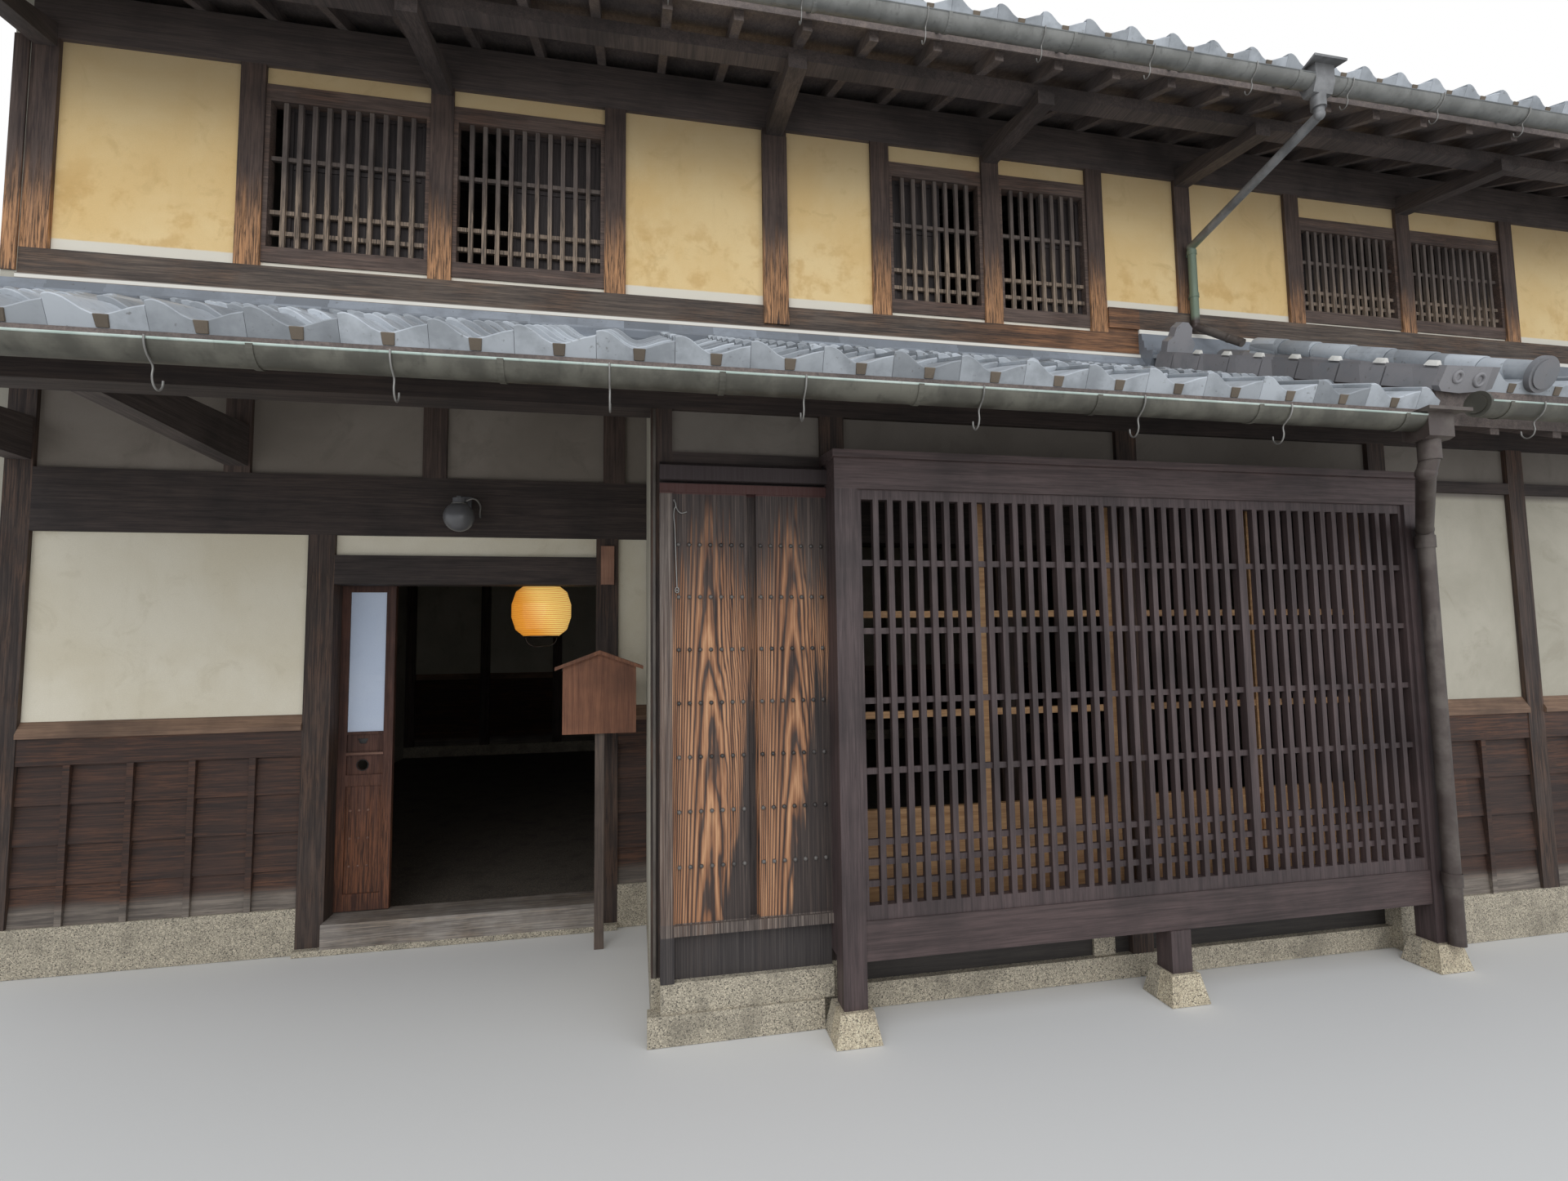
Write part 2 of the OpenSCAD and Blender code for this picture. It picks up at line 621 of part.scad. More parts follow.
gutter_z = lower_top(lower_board_y) - 83;
upper_rim_z = upper_top(board_y) - 66;
raised_gutter_z = gutter_z + 78;
hopper_x = raised_x - 250;
hopper_w = 130;
module gutters() color("darkolivegreen") place() {
    gutter_run(lower_x0, hopper_x, lower_gutter_y, gutter_z, lower_board_y - fascia_t);
    x = raised_x + 98;
    gutter_run(x, lower_x1, lower_gutter_y, raised_gutter_z, lower_board_y - fascia_t);
    translate([x - 10, lower_gutter_y, raised_gutter_z]) rotate([0, 90, 0]) {
        cylinder(h = 10, r = gutter_r, $fn = ROUND);
        translate([0, 0, -6]) cylinder(h = 7, r = gutter_r * 0.7, $fn = ROUND);
    }
    gutter_run(roof_x0, wall_pipe_x - hopper_w / 2, upper_gutter_y, upper_rim_z, board_y - fascia_t);
    gutter_run(wall_pipe_x + hopper_w / 2, roof_x1, upper_gutter_y, upper_rim_z, board_y - fascia_t);
    translate([0, house_depth, 0]) mirror([0, 1, 0])
        gutter_run(roof_x0, roof_x1, upper_gutter_y, upper_rim_z, board_y - fascia_t);
}

// A half-round gutter with its hooks, which reach back to the fascia at seat_y
module gutter_run(x0, x1, y, z, seat_y) {
    half_ring(x0, x1 - x0, y, z, gutter_r, gutter_r - gutter_t, ROUND);
    count = floor((x1 - x0 - 200) / 650);
    gap = (x1 - x0 - 200) / count;
    for (i = [0 : count]) {
        x = x0 + 90 + i * gap;
        half_ring(x, 20, y, z, gutter_r + gutter_t, gutter_r - gutter_t / 2, ROUND / 2);
        block([x, y + gutter_r, z], [x + 20, y + gutter_r + gutter_t, z + 45]);
        block([x, y + gutter_r, z + 40], [x + 20, seat_y, z + 45]);
    }
}

// The lower half of a ring in Y and Z, drawn out along X
module half_ring(x, length, y, z, outer, inner, sides)
    translate([x, y, z]) rotate([90, 0, 90]) linear_extrude(length) difference() {
        circle(r = outer, $fn = sides);
        circle(r = inner, $fn = sides);
        translate([-outer - 1, 0]) square([2 * outer + 2, outer + 1]);
    }

// A pipe that follows a chain of points, with a wider elbow at each bend
module pipe(points, r) {
    for (i = [0 : len(points) - 2]) rod(points[i], points[i + 1], r);
    for (i = [1 : len(points) - 2]) translate(points[i]) sphere(r = r + 3, $fn = ROUND);
}

// A rainwater head: a flat flared lip, a box with a wedge-shaped foot, and its outlet
module hopper(x, y, z, above, drop) {
    r = gutter_r;
    mid = x + hopper_w / 2;
    translate([x, y, z]) rotate([90, 0, 90]) linear_extrude(hopper_w) polygon([
        [-r, above - 14], [-r, above - r * 2], [-r * 0.6, -r - 40], [r * 0.6, -r - 40], [r, above - r * 2],
        [r, above - 14]]);
    translate([mid, y, z + above - 14]) linear_extrude(14)
        polygon([[-hopper_w * 0.85, -r - 42], [hopper_w * 0.85, -r - 42], [hopper_w / 2, r],
                 [-hopper_w / 2, r]]);
    translate([mid, y, z - r - drop]) cylinder(h = drop - 30, r = 40, $fn = ROUND);
}

wall_pipe_r = pipe_r - 7;
pipe_gap = 18;
wall_pipe_x = post_x[8] + half_post - wall_pipe_r - 20;
turn_drop = 520;
module downpipes() color("darkolivegreen") place() {
    x = bay_x1 + 10;
    y = lattice_y - pipe_r - 9;
    neck = gutter_z - gutter_r;
    head_x = hopper_x + hopper_w / 2;
    hopper(hopper_x, lower_gutter_y, gutter_z, 24, 120);
    pipe([[head_x, lower_gutter_y, neck - 110], [head_x, lower_gutter_y + 20, neck - 170],
          [x, y, header_z - 130], [x, y, footing_h + 5]], pipe_r);
    for (z = [header_z - 220, bay_beam_z + bay_beam_h - 60]) {
        translate([x, y, z]) cylinder(h = 60, r = pipe_r + 5, $fn = ROUND);
        block([x - 10, y, z + 18], [x + 10, lattice_y, z + 42]);
    }
    wall_y = -wall_pipe_r - pipe_gap;
    rim = upper_rim_z - gutter_r;
    turn_z = panel_top - turn_drop;
    foot_y = -flash_d * 3;
    foot = lower_top(foot_y) + raised_step + tile_h;
    hopper(wall_pipe_x - hopper_w / 2, upper_gutter_y, upper_rim_z, 80, 110);
    pipe([[wall_pipe_x, upper_gutter_y, rim - 100], [wall_pipe_x, upper_gutter_y, rim - 150],
          [wall_pipe_x, wall_y, turn_z], [wall_pipe_x, wall_y, sill_top + 70],
          [wall_pipe_x + 100, foot_y + 80, foot + 180], [wall_pipe_x + 130, foot_y, foot + 115]],
         wall_pipe_r);
    for (z = [turn_z - 60, raised_sill_top + 100]) {
        translate([wall_pipe_x, wall_y, z]) cylinder(h = 30, r = wall_pipe_r + 4, $fn = ROUND);
        block([wall_pipe_x - 8, wall_y, z + 5], [wall_pipe_x + 8, 0, z + 25]);
    }
}

module sill_beam() color("saddlebrown") place() both_sides() {
    block([house_x0, 0, sill_z], [house_x1, post_w, sill_top]);
    block([post_x[raised_bay] + half_post, 0, sill_top], [house_x1, post_w, raised_sill_top]);
    block([post_x[raised_bay] + half_post, -15, sill_top + line_h], [house_x1, 0, raised_sill_top]);
}

module wall_posts() color("maroon") place() {
    for (i = [1 : last])
        block([post_x[i] - half_post, 0, lintel_top], [post_x[i] + half_post, post_w, sill_z]);
    for (i = [0 : last]) block([post_x[i] - half_post, house_depth - post_w, base_h],
                               [post_x[i] + half_post, house_depth, sill_z]);
    both_sides() {
        for (i = [0 : last])
            block([post_x[i] - post_size(i) / 2, 0, i > raised_bay ? raised_sill_top : sill_top],
                  [post_x[i] + post_size(i) / 2, post_w, panel_top]);
        block([post_x[broad] - broad_post_w / 2, -line_t, sill_z + 25],
              [post_x[broad] + broad_post_w / 2, 0, panel_top - arm_drop - 5]);
    }
}

module transom_panels() color("tan") place() {
    for (i = [0 : last - 1])
        block([post_x[i] + half_post, panel_y, lintel_top],
              [post_x[i + 1] - half_post, panel_y + panel_t, sill_z]);
    block([house_x0, -line_t, sill_z - line_h], [raised_x, 0, sill_z]);
    block([raised_x, -line_t, sill_top], [house_x1, 0, sill_top + line_h]);
}

module upper_panels() color("khaki") place() both_sides() for (i = [0 : last - 1])
    if (is_window(i)) {
        wall_piece(i, foot_z(i), foot_z(i) + line_h);
        wall_piece(i, panel_top - over_window(i), panel_top);
    } else wall_piece(i, foot_z(i), panel_top);

// A piece of plaster between the posts of a bay
module wall_piece(i, z0, z1)
    block([bay_from(i), panel_y, z0], [bay_to(i), panel_y + panel_t, z1]);

frame_low = 90;
frame_high = 97;
frame_side = 24;
frame_y = 15;
module window_frames() color("saddlebrown") place() both_sides() for (i = window_bays) {
    z0 = foot_z(i) + line_h;
    z1 = panel_top - over_window(i);
    difference() {
        block([bay_from(i), frame_y, z0], [bay_to(i), frame_y + 70, z1]);
        block([bay_from(i) + frame_side, 0, z0 + frame_low],
              [bay_to(i) - frame_side, post_w, z1 - frame_high]);
    }
}

module window_bars() color("dimgray") place() both_sides() for (i = window_bays) {
    z0 = foot_z(i) + line_h + frame_low;
    z1 = panel_top - over_window(i) - frame_high;
    x0 = bay_from(i) + frame_side;
    x1 = bay_to(i) - frame_side;
    count = round((x1 - x0) / window_bar_pitch) - 1;
    pitch = (x1 - x0) / (count + 1);
    for (b = [1 : count])
        block([x0 + b * pitch - 12, frame_y + 10, z0], [x0 + b * pitch + 12, frame_y + 35, z1]);
    for (share = [0.11, 0.25, 0.62]) {
        z = z0 + share * (z1 - z0);
        block([x0, frame_y + 25, z - 12], [x1, frame_y + 45, z + 12]);
    }
}

module wall_plates() color("maroon") place() {
    both_sides() along_x(house_x0, house_x1, [
        [0, panel_top], [post_w, panel_top], [post_w, upper_z(post_w)], [0, plate_top]]);
    along_x(house_x0, house_x1, [
        [ridge_y - half_post, upper_z(ridge_y) - ridge_beam_h],
        [ridge_y + half_post, upper_z(ridge_y) - ridge_beam_h],
        [ridge_y + half_post, upper_z(ridge_y - half_post)], [ridge_y, upper_z(ridge_y)],
        [ridge_y - half_post, upper_z(ridge_y - half_post)]]);
}
ridge_beam_h = 200;

purlin_y = -610;
arm_drop = 50;
purlin_z = upper_z(purlin_y - 50) - 70;
module upper_arms() color("maroon") place() both_sides() {
    for (i = [0 : 2 : last]) along_x(post_x[i] - 52, post_x[i] + 52, [
        [0, panel_top - arm_drop], [0, panel_top + 80], [purlin_y + 50, purlin_z],
        [purlin_y - 90, purlin_z], [purlin_y - 90, purlin_z - 80]]);
    along_x(house_x0, house_x1, [
        [purlin_y - 50, purlin_z], [purlin_y + 50, purlin_z],
        [purlin_y + 50, upper_z(purlin_y + 50)], [purlin_y - 50, upper_z(purlin_y - 50)]]);
}

module upper_rafters() color("sienna") place() both_sides() for (i = [0 : rafter_count])
    slope_piece(rafter_x(i), rafter_x(i) + rafter_w, board_y + 30, 0, rafter_h);

// A layer on one slope of the gable roof, between two heights above the rafters' underside
ridge_gap = 4;
module slope_piece(x0, x1, y, low, high)
    along_x(x0, x1, [[y, upper_z(y) + low], [ridge_y - ridge_gap, upper_z(ridge_y - ridge_gap) + low],
                     [ridge_y - ridge_gap, upper_z(ridge_y - ridge_gap) + high], [y, upper_z(y) + high]]);

// Boards with the mud bed that lifts the tiles, the fascia and the barge boards
module upper_deck() color("sienna") place() both_sides() {
    slope_piece(roof_x0, roof_x1, board_y, rafter_h, rafter_h + deck_t + eave_lift);
    along_x(roof_x0, roof_x1, [
        [board_y - fascia_t, upper_top(board_y - fascia_t) - deck_t - 25],
        [board_y, upper_top(board_y) - deck_t - 25],
        [board_y, upper_top(board_y) + eave_lift],
        [board_y - fascia_t, upper_top(board_y - fascia_t) + eave_lift]]);
    for (x = [roof_x0, roof_x1 - barge_t]) slope_piece(x, x + barge_t, board_y, -70, rafter_h);
}
barge_t = 30;

upper_tile_y = -upper_eave_out + tile_h * 0.4;
upper_length = (ridge_y - ridge_w / 4 - upper_tile_y) * sqrt(1 + upper_rise * upper_rise);
cover_r = 60;
upper_columns = floor((roof_x1 - roof_x0 - 2 * cover_r) / tile_w);
upper_joint = (roof_x0 + roof_x1 - upper_columns * tile_w) / 2;
module upper_tiles() color("silver") place() both_sides()
    tile_field(roof_x0, roof_x1, upper_tile_y, upper_top(upper_tile_y) + eave_lift, upper_length,
               upper_rise, upper_joint);

// Ridge: courses of flat tiles that step in, a round cover row and an end tile on each gable
module ridge_tiles() color("silver") place() {
    top = upper_top(ridge_y) + eave_lift + tile_h * sqrt(1 + upper_rise * upper_rise) + 2 * laid_gap;
    half = ridge_w / 2;
    course = ridge_h * 0.72 / ridge_courses;
    side = [for (i = [0 : ridge_courses - 1]) each [[half - 8 * i, top + i * course],
                                                    [half - 8 * i - 4, top + (i + 1) * course]]];
    along_x(roof_x0 + end_tile_t, roof_x1 - end_tile_t, concat(
        [[ridge_y - half, top - upper_rise * half], [ridge_y, top],
         [ridge_y + half, top - upper_rise * half]],
        [for (p = side) [ridge_y + p[0], p[1]]],
        [for (i = [len(side) - 1 : -1 : 0]) [ridge_y - side[i][0], side[i][1]]]));
    round_r = ridge_w * 0.28;
    translate([roof_x0, ridge_y, top + ridge_courses * course]) rotate([0, 90, 0])
        cylinder(h = roof_x1 - roof_x0, r = round_r, $fn = ROUND);
    outline = [[1.3, -upper_rise * half * 1.3], [1.25, ridge_h * 0.4], [0.8, ridge_h * 0.9],
               [0.3, ridge_h * 1.1]];
    for (x = [roof_x0, roof_x1 - end_tile_t])
        translate([x, ridge_y, top]) rotate([90, 0, 90]) linear_extrude(end_tile_t) polygon(concat(
            [[0, 0]], [for (p = outline) [half * p[0], p[1]]],
            [for (i = [len(outline) - 1 : -1 : 0]) [-half * outline[i][0], outline[i][1]]]));
}
ridge_courses = 5;
end_tile_t = 40;

module party_walls() color("tan") place() {
    boards = rafter_h;
    along_x(left_face, house_x0, [
        [0, 0], [house_depth, 0], [house_depth, upper_z(0) + boards],
        [ridge_y, upper_z(ridge_y) + boards], [0, upper_z(0) + boards]]);
    along_x(house_x1, right_face, [
        [front_y, 0], [house_depth, 0], [house_depth, upper_z(0) + boards],
        [ridge_y, upper_z(ridge_y) + boards], [0, upper_z(0) + boards],
        [0, lower_z(0) + boards], [front_y, lower_z(front_y) + boards]]);
}

module rear_wall() color("tan") place() translate([0, house_depth, 0]) mirror([0, 1, 0])
    for (i = [0 : last - 1]) {
        siding(post_x[i] + half_post, post_x[i + 1] - half_post, 0);
        block([post_x[i] + half_post, panel_y, ledge_top],
              [post_x[i + 1] - half_post, panel_y + panel_t, sill_z]);
    }

lamp_r = 80;
lantern_r = 180;
lantern_h = 330;
module lamps() color("ivory") place() {
    lamp_x = (door_x0 + door_x1) / 2 - 28;
    lamp_y = -lamp_r - 70;
    lamp_z = lintel_z + lamp_r + 6;
    translate([lamp_x, lamp_y, lamp_z]) sphere(r = lamp_r, $fn = 32);
    translate([lamp_x, lamp_y, lamp_z + lamp_r - 8]) cylinder(h = 30, r = 34, $fn = ROUND);
    block([lamp_x - 12, lamp_y - 12, lamp_z + lamp_r + 14], [lamp_x + 12, 0, lamp_z + lamp_r + 34]);
    block([lamp_x - 34, -14, lamp_z + lamp_r - 10], [lamp_x + 34, 0, lamp_z + lamp_r + 58]);
    x = door_x1 - lantern_r * 2;
    y = post_w + rail_d + lantern_r + 140;
    z = door_head_z - lantern_h + 40;
    translate([x, y, z]) rotate_extrude($fn = ROUND) polygon([
        [0, 0], [lantern_r * 0.55, 0], [lantern_r * 0.86, lantern_h * 0.14], [lantern_r, lantern_h * 0.38],
        [lantern_r, lantern_h * 0.62], [lantern_r * 0.86, lantern_h * 0.86], [lantern_r * 0.55, lantern_h],
        [0, lantern_h]]);
    translate([x, y, z + lantern_h]) cylinder(h = upper_floor_z - floor_t - z - lantern_h, r = 5, $fn = 16);
}

sign_w = 380;
sign_h = 420;
sign_t = 30;
sign_slope = 0.37;
module sign_boards() color("peru") place() {
    plate_x = door_x1 + post_w - 98;
    block([plate_x, -18, door_head_z + 1], [plate_x + 75, 0, door_head_z + 225]);
    x0 = return_x0 - 60 - sign_w;
    mid = x0 + sign_w / 2;
    z = ledge_top - 120;
    half = sign_w / 2 + 38;
    y = -300;
    translate([0, y + sign_t / 2, 0]) rotate([90, 0, 0]) linear_extrude(sign_t) polygon([
        [x0, z], [x0 + sign_w, z], [x0 + sign_w, z + sign_h - sign_slope * sign_w / 2],
        [mid, z + sign_h], [x0, z + sign_h - sign_slope * sign_w / 2]]);
    translate([0, y + 45, 0]) rotate([90, 0, 0]) linear_extrude(90) polygon([
        [mid - half, z + sign_h - sign_slope * half], [mid, z + sign_h],
        [mid + half, z + sign_h - sign_slope * half], [mid + half, z + sign_h - sign_slope * half + 18],
        [mid, z + sign_h + 20], [mid - half, z + sign_h - sign_slope * half + 18]]);
    block([mid - 24, y + sign_t / 2, 0], [mid + 24, y + sign_t / 2 + 30, z + sign_h - 90]);
    block([mid - 12, y + sign_t / 2 + 30, z + 60], [mid + 12, 0, z + 90]);
}

// Hanging tiles along an open edge of a roof, from the outer face at x to the inner one at x + side * 30
module hanging_tiles(x, side, y, z, start, length, slope, low, high) {
    on_slope(y, z, slope) {
        translate([min(x + side * 12, x + side * 30), low, start]) cube([18, high - low, length - start]);
        for (s = [start : hang_pitch : length - hang_pitch / 2])
            translate([min(x, x + side * 12), low - 6, s])
                cube([12, high - low - 8, min(hang_pitch - 8, length - s)]);
    }
}
hang_pitch = 242;
scroll_out = 9;
scroll_w = 296;
ornament_t = 60;

// A row of half-round cover tiles on the tile crests, with a round end tile in front
module cover_row(x, y, z, length, slope, r, end_r)
    on_slope(y, z, slope) {
        translate([x, crest_line, 0]) intersection() {
            cylinder(h = length, r = r, $fn = ROUND);
            translate([-r, 0, 0]) cube([2 * r, r, length]);
        }
        translate([x, crest_line, -24]) {
            cylinder(h = 24, r = end_r, $fn = ROUND);
            translate([0, 0, -6]) cylinder(h = 7, r = end_r * 0.8, $fn = ROUND);
        }
    }
crest_line = tile_h + 2 * laid_gap;

// Edge of the raised roof part with a scroll tile at its lower end and an ornament at the wall, and the
// edges of the main roof
module verge_tiles() color("silver") place() {
    z = lower_top(lower_tile_y) + raised_step;
    hanging_tiles(raised_x - 30 - laid_gap, 1, lower_tile_y, z, -scroll_out, lower_length - tile_h,
                  lower_rise, 0, crest_line + 6);
    cover_row(raised_x + 6 + 2 * tile_w, lower_tile_y, z, lower_length - 6, lower_rise, 52, 80);
    on_slope(lower_tile_y, z, lower_rise) translate([raised_x - 34, 0, -30 - scroll_out]) {
        linear_extrude(30) polygon([[0, 12], [24, -10], [120, -14], [206, -4], [262, 2], [290, 14],
                                    [scroll_w, 104], [10, 96]]);
        for (scroll = [[86, 52, 30], [204, 46, 34]]) translate([scroll[0], scroll[1], 0])
            rotate_extrude($fn = ROUND) translate([scroll[2] - 9, 0]) circle(r = 8, $fn = 16);
    }
    on_slope(lower_tile_y, z, lower_rise)
        translate([raised_x - 10, crest_line, lower_length - tile_h - ornament_t])
            linear_extrude(ornament_t) polygon([
                [0, 0], [190, 0], [196, 72], [160, 104], [150, 162], [112, 194], [66, 194], [34, 160],
                [28, 104], [-6, 72]]);
    both_sides() for (side = [0, 1]) {
        x = side == 0 ? roof_x0 - 30 - laid_gap : roof_x1 + 30 + laid_gap;
        toward = side == 0 ? 1 : -1;
        y = upper_tile_y;
        hanging_tiles(x, toward, y, upper_top(y) + eave_lift, 0, upper_length, upper_rise, -30,
                      crest_line + 6);
        cover_row(x + toward * (30 + cover_r), y, upper_top(y) + eave_lift, upper_length - tile_h,
                  upper_rise, cover_r, 75);
    }
}

ground_floor();
upper_floor();
stone_base();
threshold();
entry_posts();
entry_boards();
entry_plaster();
door_head();
lintel_beam();
door_leaf();
return_wall();
front_frame();
front_rail();
front_plaster();
front_boards();
inner_screens();
shutter_box();
lattice_posts();
bay_beam();
bay_ends();
bay_header();
bay_lattice();
eaves_beam();
eaves_arms();
lower_rafters();
lower_deck();
lower_tiles_left();
lower_tiles_right();
verge_tiles();
wall_flashing();
gutters();
downpipes();
sill_beam();
wall_posts();
transom_panels();
upper_panels();
window_frames();
window_bars();
wall_plates();
upper_arms();
upper_rafters();
upper_deck();
upper_tiles();
ridge_tiles();
party_walls();
rear_wall();
lamps();
sign_boards();
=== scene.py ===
# %% [markdown]
# # A machiya townhouse
# The wooden house comes in from its construction as a fixed frame: posts, beams, walls and roofs are
# already there, each at its true place. This lesson dresses it. It sets up the camera, mixes a finish
# for each material, and models what a builder would lay on last: tiles, boards, nails and fittings.

# %% Load the frame
import math

import bmesh
import bpy
import numpy as np
from mathutils import Matrix, Vector


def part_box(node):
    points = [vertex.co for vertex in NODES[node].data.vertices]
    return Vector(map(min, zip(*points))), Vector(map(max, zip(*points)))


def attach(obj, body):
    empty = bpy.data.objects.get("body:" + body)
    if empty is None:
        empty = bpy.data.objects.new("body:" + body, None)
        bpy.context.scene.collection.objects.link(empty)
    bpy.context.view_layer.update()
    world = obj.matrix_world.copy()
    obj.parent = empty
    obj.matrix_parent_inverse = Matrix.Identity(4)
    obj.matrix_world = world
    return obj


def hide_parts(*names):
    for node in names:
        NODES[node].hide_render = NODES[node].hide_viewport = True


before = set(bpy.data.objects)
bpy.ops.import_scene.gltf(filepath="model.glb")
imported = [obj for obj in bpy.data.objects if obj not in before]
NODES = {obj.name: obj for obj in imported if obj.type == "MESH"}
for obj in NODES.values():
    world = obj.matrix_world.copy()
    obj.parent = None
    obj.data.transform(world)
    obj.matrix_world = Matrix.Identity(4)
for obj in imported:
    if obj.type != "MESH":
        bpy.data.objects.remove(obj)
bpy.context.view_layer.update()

bpy.ops.object.select_all(action="DESELECT")

# %% [markdown]
# All sizes below are in millimetres from the first post: X runs along the front from that post's
# middle, Y into the house from the front face of the upper wall, and Z up from the ground. The long
# lintel beam starts at that post and lies on that face, so its box gives the shift to the frame.

# %% Measure from the first post
MM = 0.001
HALF_POST = 62.5
beam_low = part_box("lintel_beam")[0]
SHIFT = Vector((beam_low.x - HALF_POST * MM, beam_low.y, 0.0))


def spot(x, y, z):
    """A place in the house, in millimetres from the first post, as a point of the scene."""
    return Vector((x * MM, y * MM, z * MM)) + SHIFT


def at_x(x):
    """The scene's X of a place along the front."""
    return spot(x, 0, 0).x


def at_y(y):
    """The scene's Y of a place behind or before the upper wall."""
    return spot(0, y, 0).y


print("the first post stands at", tuple(round(v, 4) for v in SHIFT))

# %% [markdown]
# ## The camera
# A wide lens stands at eye height at the edge of the street, left of the middle, and looks a little
# to the right and up. Its three axes are worked out from yaw, pitch and roll, so that the frame of
# the picture falls on the house as it does for someone who stands there.

# %% Place the camera
EYE = (3078.8, -4382.9, 1568.4)
FOCUS_PIXELS, PICTURE_WIDTH = 902.2456, 1920
YAW, PITCH, ROLL = 0.1994, 0.0749, -0.0138
SENSOR, SIGHT = 36.0, 200.0

right = Vector((math.cos(YAW), -math.sin(YAW), 0.0))
forward = Vector((math.sin(YAW) * math.cos(PITCH), math.cos(YAW) * math.cos(PITCH), math.sin(PITCH)))
up = right.cross(forward)
picture_right = math.cos(ROLL) * right + math.sin(ROLL) * up
picture_up = -math.sin(ROLL) * right + math.cos(ROLL) * up

lens = bpy.data.cameras.new("street_view")
lens.sensor_fit = "HORIZONTAL"
lens.sensor_width = SENSOR
lens.lens = FOCUS_PIXELS / PICTURE_WIDTH * SENSOR
lens.clip_end = SIGHT
camera = bpy.data.objects.new("street_view", lens)
bpy.context.scene.collection.objects.link(camera)
turn = Matrix((picture_right, picture_up, -forward)).transposed().to_4x4()
camera.matrix_world = Matrix.Translation(spot(*EYE)) @ turn
bpy.context.scene.camera = camera
print("lens", round(lens.lens, 2), "mm")

# %% [markdown]
# ## Writing shaders as sums
# A finish is a small network of nodes. Wire wraps one socket, so that plain Python sums such as
# 1 - mask add the Math nodes by themselves. Finish owns one material and has one method that makes
# any other node from its type, its settings and what goes into it. LOOKS keeps each by its name.

# %% Wrap a socket


def linear(colour):
    """A colour given as 0 to 255 for each light, turned into what the shader wants."""
    return tuple(((v / 255 + 0.055) / 1.055) ** 2.4 if v > 10 else v / 255 / 12.92 for v in colour) + (1.0,)


def tint(colour, share):
    """A lighter or darker colour of the same hue."""
    return [min(255, v * share) for v in colour]


def math_step(operation, swapped=False):
    """A method that adds one Math node to the finish of a wire."""
    def step(self, other=0.0):
        first, second = (other, self) if swapped else (self, other)
        return self.finish.node("ShaderNodeMath", {"operation": operation}, {0: first, 1: second})
    return step


class Wire:
    def __init__(self, finish, socket):
        self.finish, self.socket = finish, socket

    __add__, __radd__ = math_step("ADD"), math_step("ADD", True)
    __sub__, __rsub__ = math_step("SUBTRACT"), math_step("SUBTRACT", True)
    __mul__, __rmul__ = math_step("MULTIPLY"), math_step("MULTIPLY", True)
    __truediv__, __rtruediv__ = math_step("DIVIDE"), math_step("DIVIDE", True)
    __mod__, __abs__ = math_step("FLOORED_MODULO"), math_step("ABSOLUTE")
    __gt__, __lt__ = math_step("GREATER_THAN"), math_step("LESS_THAN")
    floor, sine, most = math_step("FLOOR"), math_step("SINE"), math_step("MAXIMUM")


print("wires take part in sums")

# %% Build a finish
LOOKS = {}


